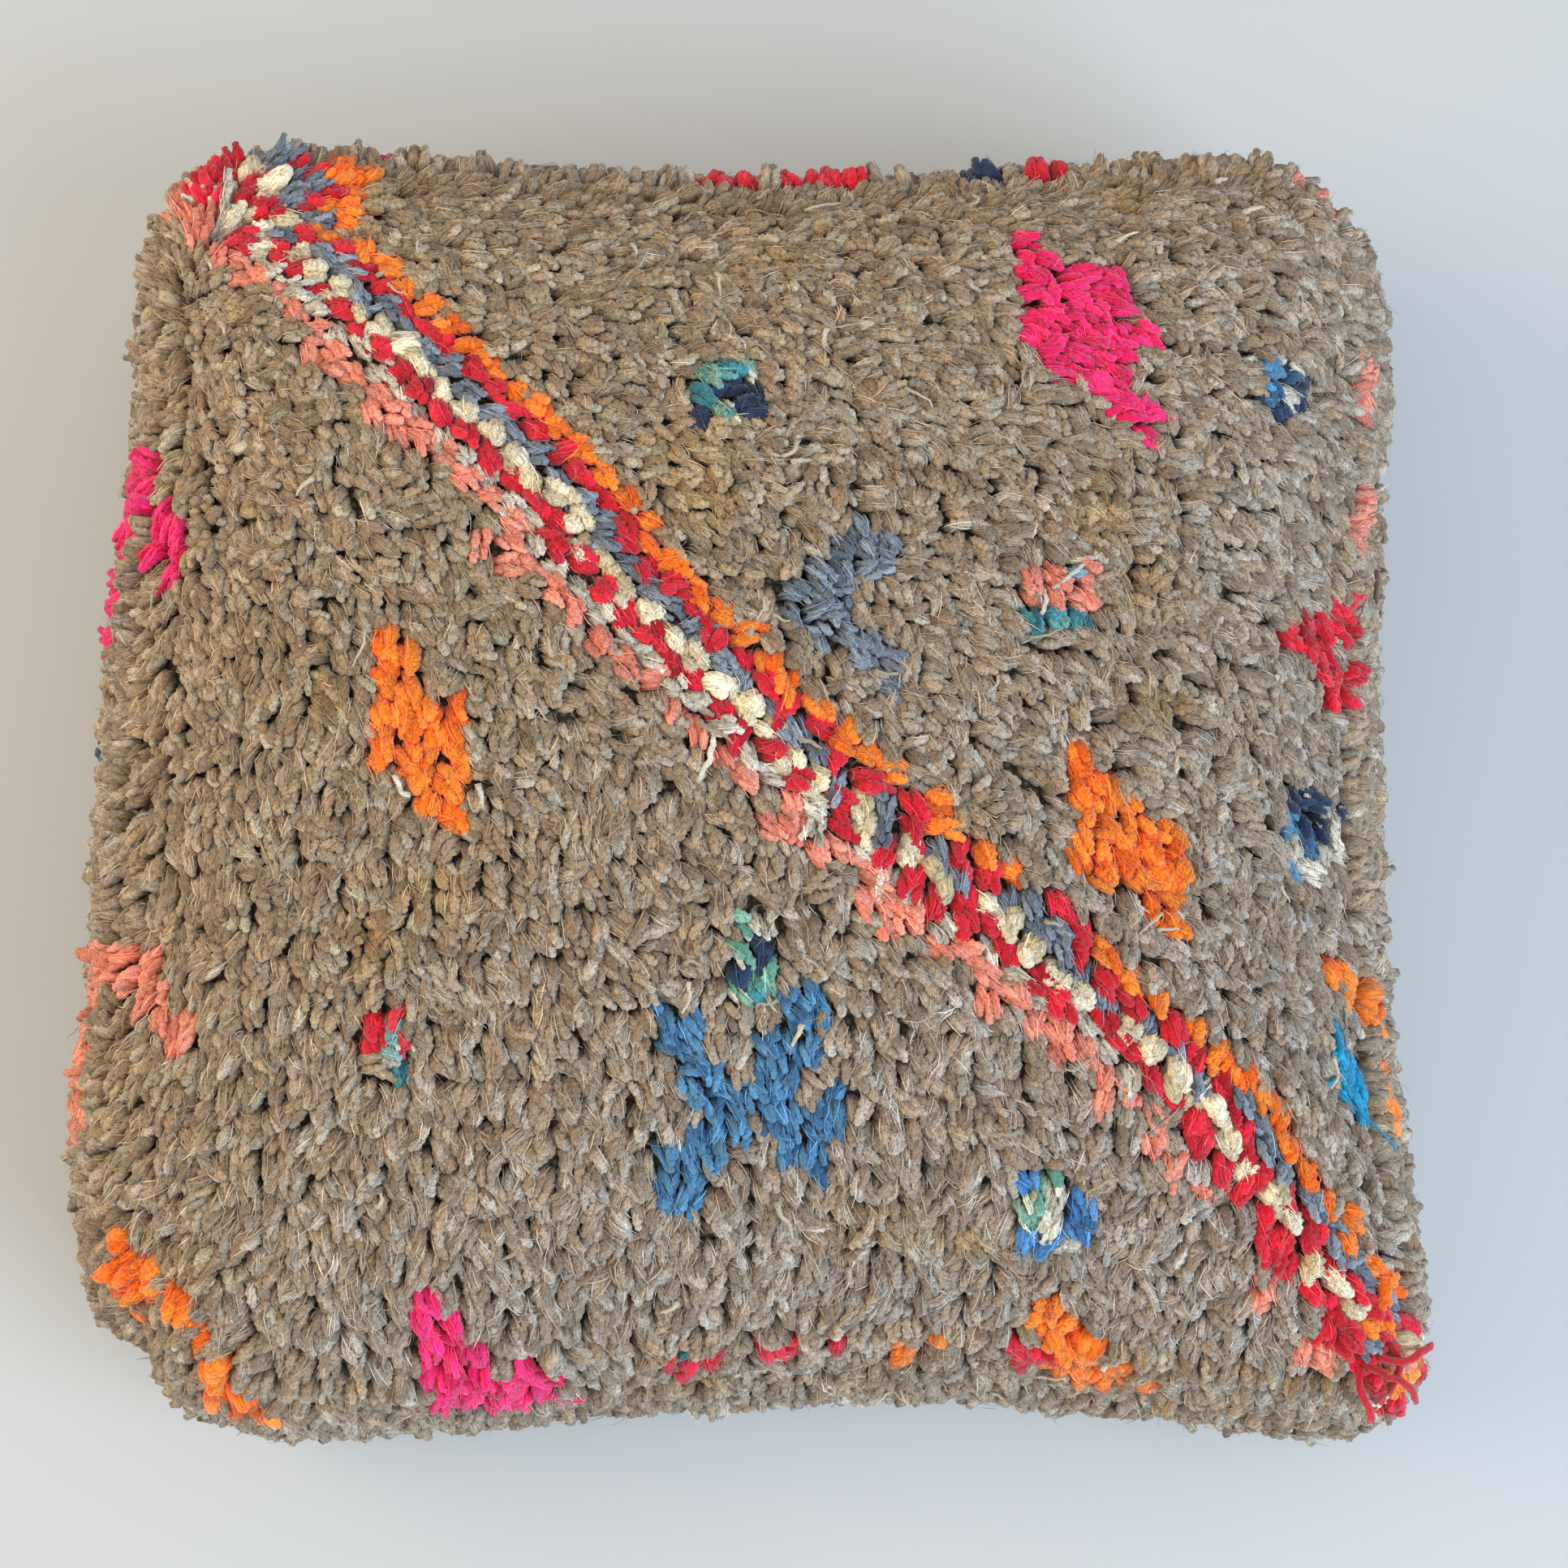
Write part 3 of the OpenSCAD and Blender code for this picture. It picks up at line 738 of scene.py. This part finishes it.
def wool_material():
    """Spun wool: each strand's colour with its painted shade, streaked along its fibres with paler and
    darker wool and with painted highlights, rough and softly sheened.
    """
    material, node, to_shader = new_material("wool")
    tint = node("ShaderNodeAttribute", n_attribute_name="tint").outputs["Color"]
    strand = node("ShaderNodeAttribute", n_attribute_name="strand").outputs["Vector"]
    fibres = node("ShaderNodeTexNoise", Vector=strand, Scale=6.0, Detail=3.0, Roughness=0.65,
                  Distortion=0.5).outputs["Fac"]
    where = node("ShaderNodeTexCoord").outputs["Object"]
    specks = node("ShaderNodeTexNoise", Vector=where, Scale=900.0, Detail=2.0).outputs["Fac"]
    # The streaks: paler and darker fibres, and painted highlights along them
    light = node("ShaderNodeMapRange", Value=fibres, From_Min=0.34, From_Max=0.66, To_Min=0.42, To_Max=1.72)
    fleck = node("ShaderNodeMapRange", Value=specks, From_Min=0.3, From_Max=0.7, To_Min=0.88, To_Max=1.12)
    both = node("ShaderNodeMath", light.outputs["Result"], fleck.outputs["Result"], n_operation="MULTIPLY")
    shaded = node("ShaderNodeVectorMath", n_operation="SCALE", Vector=tint, Scale=both.outputs["Value"])
    to_shader("Base Color", shaded.outputs["Vector"])
    rough = node("ShaderNodeMapRange", Value=fibres, To_Min=0.86, To_Max=1.0)
    to_shader("Roughness", rough.outputs["Result"])
    bump = node("ShaderNodeBump", Strength=0.6, Distance=0.0004, Height=fibres)
    fuzz = node("ShaderNodeBump", Strength=0.5, Distance=0.0005, Height=specks,
                Normal=bump.outputs["Normal"])
    to_shader("Normal", fuzz.outputs["Normal"])
    to_shader("Specular IOR Level", 0.18)
    to_shader("Sheen Weight", 0.35)
    to_shader("Sheen Roughness", 0.55)
    return material


def weave_material(name, light, dark, threads, depth):
    """Plain weave, threads to a metre: crossing rows of rounded yarns with slubs in both directions, darker
    in the hollows where the threads dip under each other and lighter on their crowns, as painted shade.
    """
    rough, slub = 0.9, 0.5
    material, node, to_shader = new_material(name)
    where = node("ShaderNodeTexCoord").outputs["Object"]
    warped = node("ShaderNodeTexNoise", Vector=where, Scale=60.0, Detail=2.0).outputs["Color"]
    shift = node("ShaderNodeVectorMath", n_operation="SCALE", Vector=warped, Scale=0.0012)
    moved = node("ShaderNodeVectorMath", where, shift.outputs["Vector"], n_operation="ADD")
    rows = [node("ShaderNodeTexWave", Vector=moved.outputs["Vector"], Scale=threads / TAU,
                 n_bands_direction=direction).outputs["Fac"] for direction in ("X", "Y")]
    woven = node("ShaderNodeMath", *rows, n_operation="MULTIPLY").outputs["Value"]
    slubs = node("ShaderNodeTexNoise", Vector=where, Scale=threads * 0.35, Detail=3.0).outputs["Fac"]
    height = node("ShaderNodeMath", slubs, slub, woven, n_operation="MULTIPLY_ADD").outputs["Value"]
    # Painted shade: dark in the hollows of the weave, light on the crowns of the threads
    to_shader("Base Color", ramp(node, height, ((0.15, dark), (0.95, light))))
    rougher = node("ShaderNodeMapRange", Value=slubs, To_Min=rough - 0.08, To_Max=min(1.0, rough + 0.08))
    to_shader("Roughness", rougher.outputs["Result"])
    bump = node("ShaderNodeBump", Strength=0.8, Distance=depth, Height=height)
    to_shader("Normal", bump.outputs["Normal"])
    to_shader("Sheen Weight", 0.15)
    to_shader("Specular IOR Level", 0.2)
    return material


def mottled_material(name, noise, stops, rough=None, bump=None, **constants):
    """A material coloured by a noise, which can also roughen it between two values and bump it."""
    material, node, to_shader = new_material(name)
    where = node("ShaderNodeTexCoord").outputs["Object"]
    mottle = node("ShaderNodeTexNoise", Vector=where, **noise).outputs["Fac"]
    to_shader("Base Color", ramp(node, mottle, stops))
    if rough:
        made = node("ShaderNodeMapRange", Value=mottle, To_Min=rough[0], To_Max=rough[1])
        to_shader("Roughness", made.outputs["Result"])
    if bump:
        made = node("ShaderNodeBump", Strength=bump[0], Distance=bump[1], Height=mottle)
        to_shader("Normal", made.outputs["Normal"])
    for key, value in constants.items():
        to_shader(key, value)
    return material


WOOL = wool_material()
# The ground is woven in brown, kept dark so that it also paints shade into the gaps between the knots
GROUND = weave_material("ground", "8A7860", "40342A", threads=520, depth=1.2 * MM)
CANVAS = weave_material("canvas", "D9CDB8", "A8987F", threads=2600, depth=0.3 * MM)
CALICO = weave_material("calico", "E9E2D2", "CBBFA8", threads=3200, depth=0.2 * MM)
TAPE = weave_material("zip_tape", "C9B99B", "94835F", threads=4200, depth=0.2 * MM)
# Loose polyester wadding, cast brass that is worn brighter in streaks, and a pale painted floor
FIBRE = mottled_material("fibre", {"Scale": 220.0, "Detail": 6.0, "Distortion": 2.5},
                         ((0.3, "CFCDC6"), (0.7, "F4F3EE")), rough=(0.85, 1.0), bump=(0.8, 2 * MM),
                         Sheen_Weight=0.3)
METAL = mottled_material("zip_metal", {"Scale": 400.0, "Detail": 5.0},
                         ((0.35, "8A6A34"), (0.65, "D9B466")), rough=(0.45, 0.22), bump=(0.3, 0.2 * MM),
                         Metallic=1.0)
FLOOR = mottled_material("floor", {"Scale": 1.4, "Detail": 3.0}, ((0.3, "CED1D5"), (0.7, "D6D8DC")),
                         Roughness=0.75, Specular_IOR_Level=0.2)


def finish_piece(obj, material, replaces=()):
    """Gives a piece its material, tells the frame its body, and hides the CAD nodes it stands for. All the
    soft pieces ride the root; the slider and the pull are CAD nodes."""
    obj.data.materials.clear()
    obj.data.materials.append(material)
    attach(obj, "root")
    if replaces:
        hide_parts(*replaces)
    return obj


# ---- the pile

# The most triangles in a piece, so that each exports whole
MOST_TRIANGLES = 190000


def add_strands(name, strands, colours, seeds, sides, root_shade=ROOT_SHADE):
    """Strands as one object, or as several numbered ones when there are many."""
    rings = strands["radii"].shape[1]
    triangles = 2 * sides * (rings - 1) + sides + sides - 2
    parts = -(-len(colours) * triangles // MOST_TRIANGLES)
    objects = []
    for number, part in enumerate(np.array_split(np.arange(len(colours)), parts)):
        label = f"{name}_{number + 1}" if parts > 1 else name
        chosen = dict(pick_strands(strands, part), sides=sides)
        objects.append(tube_object(label, chosen, colours[part], seeds[part], root_shade))
    return objects


def add_pile(panel, letters):
    """The knots of one panel, in pieces small enough to export: the natural wool, the dyed yarns, and the
    fine fibres that lie over them."""
    strands, yarn, knot, place, pick = knot_strands(panel, letters)
    colours = strand_colours(panel, yarn, knot, place, pick)
    pieces = []
    for kind, chosen, sides in (("natural", yarn == ".", 5), ("dyed", yarn != ".", 6)):
        pieces += add_strands(f"pile_{panel}_{kind}", pick_strands(strands, chosen), colours[chosen],
                              pick[chosen], sides)
    rng = seeded("fibres", panel)
    fibres, tints = hugging_fibres(strands, colours, 1.1 if panel == "top" else 0.6, rng)
    pieces += add_strands(f"pile_{panel}_fibres", fibres, tints, rng.rand(len(tints)), 3, 0.85)
    node = "top_pile" if panel == "top" else f"side_{panel}_pile"
    for obj in pieces:
        finish_piece(obj, WOOL, replaces=[node])
    return pieces


# ---- woven grounds and canvas base

def finer(panel, along, up):
    """A finer grid of a panel's points, normals and directions."""
    s, t = span(0, along, up)
    return PANELS[panel].frame_at(s, t)


def thick_sheet(name, upper, lower):
    """A closed sheet between two grids of points."""
    rows, cols = upper.shape[:2]
    count = rows * cols
    number = np.arange(count).reshape(rows, cols)
    rim = np.concatenate([number[:-1, 0], number[-1, :-1], number[:0:-1, -1], number[0, :0:-1]])
    after = np.roll(rim, -1)
    edge = np.stack([rim, rim + count, after + count, after], 1)
    faces = [quads(rows, cols), quads(rows, cols, flip=True) + count, edge[:, ::-1]]
    points = np.concatenate([upper.reshape(-1, 3), lower.reshape(-1, 3)])
    mesh = mesh_from(name, points, faces)
    return add_object(name, mesh)


def add_ground(panel, pile):
    """The woven ground that the knots are tied on, with its rows of weft as ribs on both faces."""
    along, up = 168, 168 if panel == "top" else 60
    point, normal = finer(panel, along, up)[:2]
    weft = 0.35 * MM * np.cos(np.linspace(0, TAU * KNOTS, up))[None, :, None]
    inset = normal * 0.4 * MM
    obj = thick_sheet(f"ground_{panel}", point - inset + weft * normal,
                      point - inset - normal * (GROUND_T - 0.8 * MM) + weft * normal)
    node = "top_foundation" if panel == "top" else f"side_{panel}_foundation"
    finish_piece(obj, GROUND, replaces=[node])
    return obj


# Across the zip's recess: half widths of its mouth, its flat roof and the slot for the zip
MOUTH = 34 * MM
ROOF = 16 * MM
SLOT = 9 * MM


def base_height(x, y):
    """Height of the canvas over the floor: flat, but for the zip's recess."""
    across = 1 - smooth((np.abs(y) - ROOF) / (MOUTH - ROOF))
    ends = 1 - smooth((np.abs(x) - RECESS_HALF + 12 * MM) / (12 * MM))
    return (RECESS_Z - CANVAS_T) * across * ends


def add_base_panel(side):
    """Half of the canvas base, its inner edge turned at the zip's slot."""
    sign = -1 if side == "front" else 1
    s, t = np.meshgrid(np.linspace(-1, 1, 181), np.linspace(0, 1, 91) ** 1.4, indexing="ij")
    middle_x = plan(s, 0 * s, BASE_HALF)[0]
    inner = SLOT * (1 - smooth((np.abs(middle_x) - RECESS_HALF + 10 * MM) / (8 * MM))) + 0.3 * MM
    x, y = plan(s, sign * t, BASE_HALF)
    y = y + sign * inner * (1 - t)
    z = base_height(x, y)
    pucker = 0.5 * MM * cloud(60 * x + 5, 60 * y + 9, 61) * smooth(z / (2 * MM))
    lower = np.stack([x, y, z + pucker], -1)
    upper = lower + np.array([0, 0, CANVAS_T])
    grids = (upper, lower) if side == "back" else (upper[:, ::-1], lower[:, ::-1])
    obj = thick_sheet(f"canvas_{side}", *grids)
    finish_piece(obj, CANVAS, replaces=[f"base_panel_{side}"])
    return obj


# ---- threads

def stitch_paths(points, ways, lifts, length, lean, bow):
    """Short arched stitches at points along a seam: each crosses it, leaning a little along it."""
    tau = np.linspace(-1, 1, 9)
    across = np.cross(lifts, ways)
    heading = unit(across + lean * ways)
    reach = heading[:, None] * (length / 2 * tau)[None, :, None]
    rise = lifts[:, None] * (bow * (1 - tau ** 2) - 0.2 * bow)[None, :, None]
    return points[:, None] + reach + rise, np.repeat(unit(np.cross(heading, lifts))[:, None], 9, 1)


def same_way(direction, points):
    """One direction for every point."""
    return np.tile(direction, (len(points), 1))


def thread_object(name, stitches, radius, node, colour="E4D9C2"):
    """Stitches as one object that stands for a thread's node."""
    paths, across = stitches
    count, rings = paths.shape[:2]
    bulk = np.ones(rings)
    bulk[[0, -1]] = 0.75
    turns = np.linspace(0, 1, rings)[None] * np.linalg.norm(np.diff(paths, axis=1), axis=-1).sum(1)[:, None]
    strands = dict(paths=paths, radii=radius * bulk + np.zeros((count, rings)), across=across,
                   turns=turns / (3.2 * radius) * TAU / 3, ply=np.full(count, 0.12), sides=6)
    rng = np.random.RandomState(len(name))
    colours = rgb(colour) * rng.uniform(0.85, 1.1, (count, 1))
    obj = tube_object(name, strands, colours, rng.rand(count), root_shade=0.8)
    return finish_piece(obj, WOOL, replaces=[node])


def seam_line(panel, edge, count):
    """Points, directions and normals along a panel's upper or lower edge."""
    s = (np.arange(count) + 0.5) / count
    t = np.full(count, 1.0 if edge == "upper" else 0.0)
    point, normal, s_way = PANELS[panel].frame_at(s, t)[:3]
    return point, s_way, normal


def add_cover_threads():
    """Whip stitches round the top edge, up the corners and round the base."""
    rows = [seam_line(side, "upper", 96) for side in SIDES]
    point, way, side_normal = (np.concatenate(part) for part in zip(*rows))
    lift = unit(side_normal + np.array([0, 0, 1.2]))
    whip = {"length": 9 * MM, "lean": 0.5, "bow": 2.5 * MM}
    thread_object("thread_top_edge", stitch_paths(point, way, lift, **whip), 0.9 * MM,
                  "top_edge_thread", "7C6B56")
    up = np.linspace(0.06, 0.94, 26)
    rows = [PANELS[side].frame_at(0 * up, up) for side in SIDES]
    before = SIDES[-1:] + SIDES[:-1]
    others = [PANELS[side].frame_at(0 * up + 1, up) for side in before]
    point = np.concatenate([row[0] for row in rows])
    lift = unit(np.concatenate([row[1] for row in rows]) + np.concatenate([row[1] for row in others]))
    way = np.concatenate([row[3] for row in rows])
    thread_object("thread_corners", stitch_paths(point, way, lift, **whip), 0.9 * MM,
                  "corner_thread", "A08C70")
    rows = [seam_line(side, "lower", 110) for side in SIDES]
    point, way, side_normal = (np.concatenate(part) for part in zip(*rows))
    point = point - side_normal * 1.5 * MM + np.array([0, 0, 2.6 * MM])
    stitches = stitch_paths(point, way, side_normal, length=4.2 * MM, lean=0.6, bow=1.4 * MM)
    thread_object("thread_base_edge", stitches, 0.5 * MM, "base_edge_thread")


def add_base_threads():
    """Running stitches that join the canvas halves beyond the zip, and two rows along each zip tape."""
    inner, outer = RECESS_HALF + 6 * MM, BASE_HALF - 20 * MM
    x = np.arange(inner, outer, 4.5 * MM)
    x = np.concatenate([-x[::-1], x])
    flat = np.zeros_like(x)
    point = np.stack([x, flat, flat + CANVAS_T + 0.3 * MM], -1)
    way, up = same_way([1.0, 0, 0], point), same_way([0, 0, 1.0], point)
    stitches = stitch_paths(point, way, up, length=3.6 * MM, lean=0.7, bow=0.9 * MM)
    thread_object("thread_base_join", stitches, 0.45 * MM, "base_join_thread")
    x = np.arange(-RECESS_HALF + 14 * MM, RECESS_HALF - 14 * MM, 3.6 * MM)
    height = RECESS_Z - CANVAS_T - 0.1 * MM
    point = np.concatenate([np.stack([x, 0 * x + offset * MM, 0 * x + height], -1)
                            for offset in (-14.0, -11.0, 11.0, 14.0)])
    way, down = same_way([0, 1.0, 0], point), same_way([0, 0, -1.0], point)
    stitches = stitch_paths(point, way, down, length=2.6 * MM, lean=0.0, bow=0.35 * MM)
    thread_object("thread_zip", stitches, 0.3 * MM, "zip_thread")


# ---- liner bag and fill

def inward(panel, along, up, depth, ripple, seed):
    """A finer grid of a panel moved inside the cover, with small creases."""
    point, normal = finer(panel, along, up)[:2]
    s, t = span(0, along, up)
    crease = ripple * (cloud(18 * s + seed, 18 * t + 2 * seed, seed) - 0.5)
    moved = point - normal * depth + normal * crease[..., None]
    centre = np.array([0, 0, 0.5 * SEAM_Z])
    shrink = 1 - depth / BASE_HALF
    return centre + (moved - centre) * np.array([shrink, shrink, 1.0])


def add_liner():
    """A calico bag of six panels that holds the fill."""
    pieces = [("top", 0.58, 0.58, "liner_top")] + [(side, 0.56, 0.16, "liner_side") for side in SIDES]
    depth, ripple = 5.0 * MM, 1.2 * MM
    for number, (panel, width, length, node) in enumerate(pieces):
        up = 100 if panel == "top" else 40
        outer = inward(panel, 100, up, depth, ripple, 90 + number)
        inner = inward(panel, 100, up, depth + LINER_T, ripple, 90 + number)
        obj = thick_sheet(f"liner_{panel}", outer, inner)
        finish_piece(obj, CALICO, replaces=[node])
    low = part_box("liner_base")[0].z
    s, t = span(-1, 100)
    x, y = plan(s, t, BASE_HALF - 7 * MM)
    z = low + np.maximum(base_height(x, y) + 5 * MM * smooth((MOUTH + 8 * MM - np.abs(y)) / (14 * MM)), 0)
    lower = np.stack([x, y, z], -1)
    obj = thick_sheet("liner_base_cloth", lower + np.array([0, 0, LINER_T]), lower)
    finish_piece(obj, CALICO, replaces=["liner_base"])
    rows = []
    for side in SIDES:
        grid = inward(side, 120, 8, 5.4 * MM, 0, 1)
        rows.append((grid[:, -1], unit(np.gradient(grid[:, -1], axis=0))))
    point = np.concatenate([row[0] for row in rows])
    way = np.concatenate([row[1] for row in rows])
    up = same_way([0, 0, 1.0], point)
    stitches = stitch_paths(point, way, up, length=3.2 * MM, lean=0.6, bow=0.7 * MM)
    thread_object("thread_liner", stitches, 0.3 * MM, "liner_thread")


def add_fill():
    """Loose fibre that fills the liner: one closed lumpy form."""
    depth = 8.0 * MM
    grids = {name: inward(name, STEPS + 1, STEPS + 1 if name == "top" else UP_STEPS + 1, depth, 0, 1)
             for name in ("top", *SIDES)}
    s, t = span(-1, STEPS + 1)
    x, y = plan(s, t, 1)
    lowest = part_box("fibre_fill")[0].z
    edge = grids["front"][:, 0]
    reach = np.abs(edge[0, 0])
    x, y = x * reach, y * reach
    z = lowest + base_height(x, y) + 6 * MM * smooth((MOUTH + 10 * MM - np.abs(y)) / (16 * MM))
    grids["base"] = np.stack([x, y, z], -1)
    points, faces, _ = joined(grids)
    mesh = mesh_from("fibre_fill_soft", points, faces)
    obj = add_object("fibre_fill_soft", mesh)
    merge = bmesh.new()
    merge.from_mesh(mesh)
    bmesh.ops.remove_doubles(merge, verts=merge.verts, dist=2.5 * MM)
    bmesh.ops.subdivide_edges(merge, edges=merge.edges, cuts=1, use_grid_fill=True)
    place = np.array([v.co for v in merge.verts])
    lumps = cloud(40 * place[:, 0] + 9, 40 * (place[:, 1] + place[:, 2]) + 5, 71)
    for v, lump in zip(merge.verts, lumps):
        if v.co.z > 30 * MM:
            v.co -= v.normal * 2.5 * MM * lump
    merge.to_mesh(mesh)
    merge.free()
    finish_piece(obj, FIBRE, replaces=["fibre_fill"])


# ---- loose wool

def wandering(start, normal, heading, length, rings, curl, rise, rng):
    """Paths that wander over the pile from start, curling as they go."""
    count = len(start)
    across = np.cross(normal, heading)
    turn = np.cumsum(rng.normal(0, curl, (count, rings)), 1)
    lift = np.cumsum(rng.normal(0, curl * 0.6, (count, rings)), 1) * 0.6 + rise
    lift -= np.linspace(0, 1, rings) * (rise + 0.35)
    way = (heading[:, None] * (np.cos(turn) * np.cos(lift))[..., None]
           + across[:, None] * (np.sin(turn) * np.cos(lift))[..., None]
           + normal[:, None] * np.sin(lift)[..., None])
    paths = start[:, None] + np.cumsum(way * (length / rings)[:, None, None], 1)
    return paths, np.repeat(across[:, None], rings, 1)


def add_loose(name, panels, count, radius, length, colours, rings, curl, rise, height, sides):
    """Stray wool over some panels: long yarn ends, or fine fibres."""
    rng = seeded(name)
    starts, normals, headings = [], [], []
    for panel, share in panels:
        n = int(count * share)
        s, t = rng.uniform(0.015, 0.985, n), rng.uniform(0.02 if panel == "top" else 0.2, 0.98, n)
        point, normal, s_way, t_way = PANELS[panel].frame_at(s, t)
        angle = lay_of(panel, 2 * s - 1, 2 * t - 1, rng) + rng.normal(0, 0.9, n)
        starts.append(point + normal * (height * rng.uniform(0.75, 1.15, n))[:, None])
        normals.append(normal)
        headings.append(np.cos(angle)[:, None] * s_way + np.sin(angle)[:, None] * t_way)
    start, normal, heading = (np.concatenate(x) for x in (starts, normals, headings))
    count = len(start)
    paths, across = wandering(start, normal, heading, rng.uniform(*length, count), rings, curl, rise, rng)
    bulk = np.linspace(1, 0.45, rings)
    strands = dict(paths=paths, radii=rng.uniform(*radius, count)[:, None] * bulk, across=across,
                   turns=np.zeros((count, rings)) + np.linspace(0, 6, rings), ply=np.full(count, 0.08),
                   sides=sides)
    table = np.array([rgb(x) for x in colours])
    tints = table[rng.randint(len(table), size=count)] * rng.uniform(0.85, 1.15, (count, 1))
    obj = tube_object(name, strands, tints, rng.rand(count), root_shade=0.9)
    return finish_piece(obj, WOOL)


# Single yarns that stand out: panel, column, row, heading in degrees, length and radius in mm, colour
LONG_ENDS = (
    ("top", 55.4, 0.2, -72, 33, 1.6, "C4152B"), ("top", 55.2, 0.0, -90, 26, 1.7, "D01228"),
    ("top", 55.8, 1.0, -52, 26, 1.6, "B80C20"), ("top", 55.9, 2.0, -24, 20, 1.6, "C4152B"),
    ("top", 55.2, 0.8, -40, 31, 1.7, "D01228"), ("top", 55.9, 4.8, -12, 13, 0.9, "6B5A4E"),
    ("top", 54.6, 3.2, -4, 17, 3.0, "FF7A14"), ("top", 55.6, 4.2, -20, 11, 1.5, "8F99AA"),
    ("top", 54.8, 13.0, -72, 34, 0.6, "0A94C0"), ("top", 54.2, 13.6, -160, 9, 1.2, "0A94C0"),
    ("top", 40.2, 33.4, 33, 32, 1.0, "E2DFD6"), ("top", 39.8, 32.4, 55, 14, 1.0, "E2DFD6"),
    ("top", 53.2, 25.6, 12, 20, 0.9, "E2DFD6"), ("top", 26.4, 45.2, 10, 18, 0.9, "E2DFD6"),
    ("top", 25.6, 25.0, 48, 22, 1.3, "EDE6D8"), ("top", 14.0, 24.6, -160, 13, 1.2, "EDE6D8"),
    ("top", 31.0, 44.5, 150, 15, 1.2, "DDD2BE"), ("front", 43.0, 14.2, -62, 18, 1.2, "E9DDC4"),
    ("right", 35.0, 11.0, 60, 20, 1.4, "7A6454"), ("left", 20.4, 11.0, -150, 12, 1.0, "F41470"),
    ("right", 10.0, 13.0, -20, 16, 1.6, "B5A28A"),
)


def add_long_ends():
    """The single yarns of LONG_ENDS. Those at the near right corner hang over its edge."""
    rng = seeded("long_ends")
    starts, normals, headings = [], [], []
    for panel, column, row, angle in (end[:4] for end in LONG_ENDS):
        rows = KNOTS if panel == "top" else SIDE_ROWS
        place = np.array([column / KNOTS]), np.array([row / rows])
        point, normal, s_way, t_way = PANELS[panel].frame_at(*place)
        turn = math.radians(angle)
        starts.append(point[0] + normal[0] * 7 * MM)
        normals.append(normal[0])
        headings.append(math.cos(turn) * s_way[0] + math.sin(turn) * t_way[0])
    length, radius = (np.array([end[k] for end in LONG_ENDS]) * MM for k in (4, 5))
    rings = 12
    ways = (np.array(table) for table in (starts, normals, headings))
    paths, across = wandering(*ways, length, rings, 0.30, 0.24, rng)
    tau = np.linspace(0, 1, rings)
    over_edge = np.array([end[0] == "top" and end[1] > 55 for end in LONG_ENDS])
    paths[:, :, 2] -= (0.5 * length * over_edge)[:, None] * tau ** 2
    bulk = np.append(np.ones(rings - 1), 0.7)
    turns = tau * (length / (6 * radius))[:, None] * TAU / 3
    strands = dict(paths=paths, radii=radius[:, None] * bulk, across=across, turns=turns,
                   ply=np.full(len(length), 0.14), sides=6)
    tints = np.array([rgb(end[6]) for end in LONG_ENDS])
    obj = tube_object("long_ends", strands, tints, rng.rand(len(length)), root_shade=0.8)
    return finish_piece(obj, WOOL)


# ---- floor and light

def add_area(name, place, target, size, power, colour):
    """A rectangular light at a place, turned to its target."""
    data = bpy.data.lights.new(name, "AREA")
    data.shape = "RECTANGLE"
    data.size, data.size_y = size
    data.energy = power
    data.color = colour
    obj = bpy.data.objects.new(name, data)
    bpy.context.scene.collection.objects.link(obj)
    obj.location = place
    obj.rotation_euler = (Vector(target) - Vector(place)).to_track_quat("-Z", "Y").to_euler()


def add_studio():
    """The floor, a cool window at the near right, a warm room at the left, and a pale sky."""
    half = 6.0
    corners = np.array([[-half, -half, 0], [half, -half, 0], [half, half, 0], [-half, half, 0]])
    floor = add_object("floor", mesh_from("floor", corners, [np.array([[0, 1, 2, 3]])]))
    floor.data.materials.append(FLOOR)
    add_area("window", (2.3, -1.5, 1.9), target=(0.1, -0.1, 0.1), size=(2.2, 2.2), power=86,
             colour=(0.67, 0.86, 1.0))
    add_area("room", (-2.2, 0.1, 1.5), target=(-0.2, 0, 0.1), size=(2.0, 2.0), power=36,
             colour=(1.0, 0.80, 0.44))
    world = bpy.data.worlds.new("studio")
    world.use_nodes = True
    sky = world.node_tree.nodes["Background"].inputs
    sky["Color"].default_value = (0.98, 0.98, 1.0, 1)
    sky["Strength"].default_value = 0.60
    bpy.context.scene.world = world
    bpy.context.scene.view_settings.view_transform = "Standard"


# ---- put together

add_camera()
start = start_grids()
filled = fill_cover(start)
PANELS = {name: Panel(grid) for name, grid in filled.items()}
LETTERS = pattern()
for panel in ("top", *SIDES):
    add_ground(panel, add_pile(panel, LETTERS[panel]))
for half in ("front", "back"):
    add_base_panel(half)
add_cover_threads()
add_base_threads()
add_liner()
add_fill()
EVERYWHERE = (("top", 0.56), ("front", 0.11), ("right", 0.11), ("back", 0.11), ("left", 0.11))
add_loose("yarn_ends", EVERYWHERE, count=120, radius=(0.7 * MM, 1.5 * MM), length=(8 * MM, 20 * MM),
          colours=("CDBFA8", "B8A78E", "DCD0BC"), rings=10, curl=0.30, rise=0.10, height=8.5 * MM,
          sides=5)
add_loose("stray_fibres", EVERYWHERE, count=2600, radius=(0.11 * MM, 0.18 * MM),
          length=(5 * MM, 12 * MM), colours=("D9CCB2", "BFAF93", "E9E0CE", "A08C72"), rings=7, curl=0.4,
          rise=0.30, height=8.0 * MM, sides=3)
add_long_ends()
for material, nodes in ((TAPE, ("tape_front", "tape_back")),
                        (METAL, ("teeth_front", "teeth_back", "slider", "pull", "top_stops",
                                 "bottom_stop"))):
    for node in nodes:
        for material_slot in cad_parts["zip_" + node].material_slots:
            material_slot.material = material
add_studio()
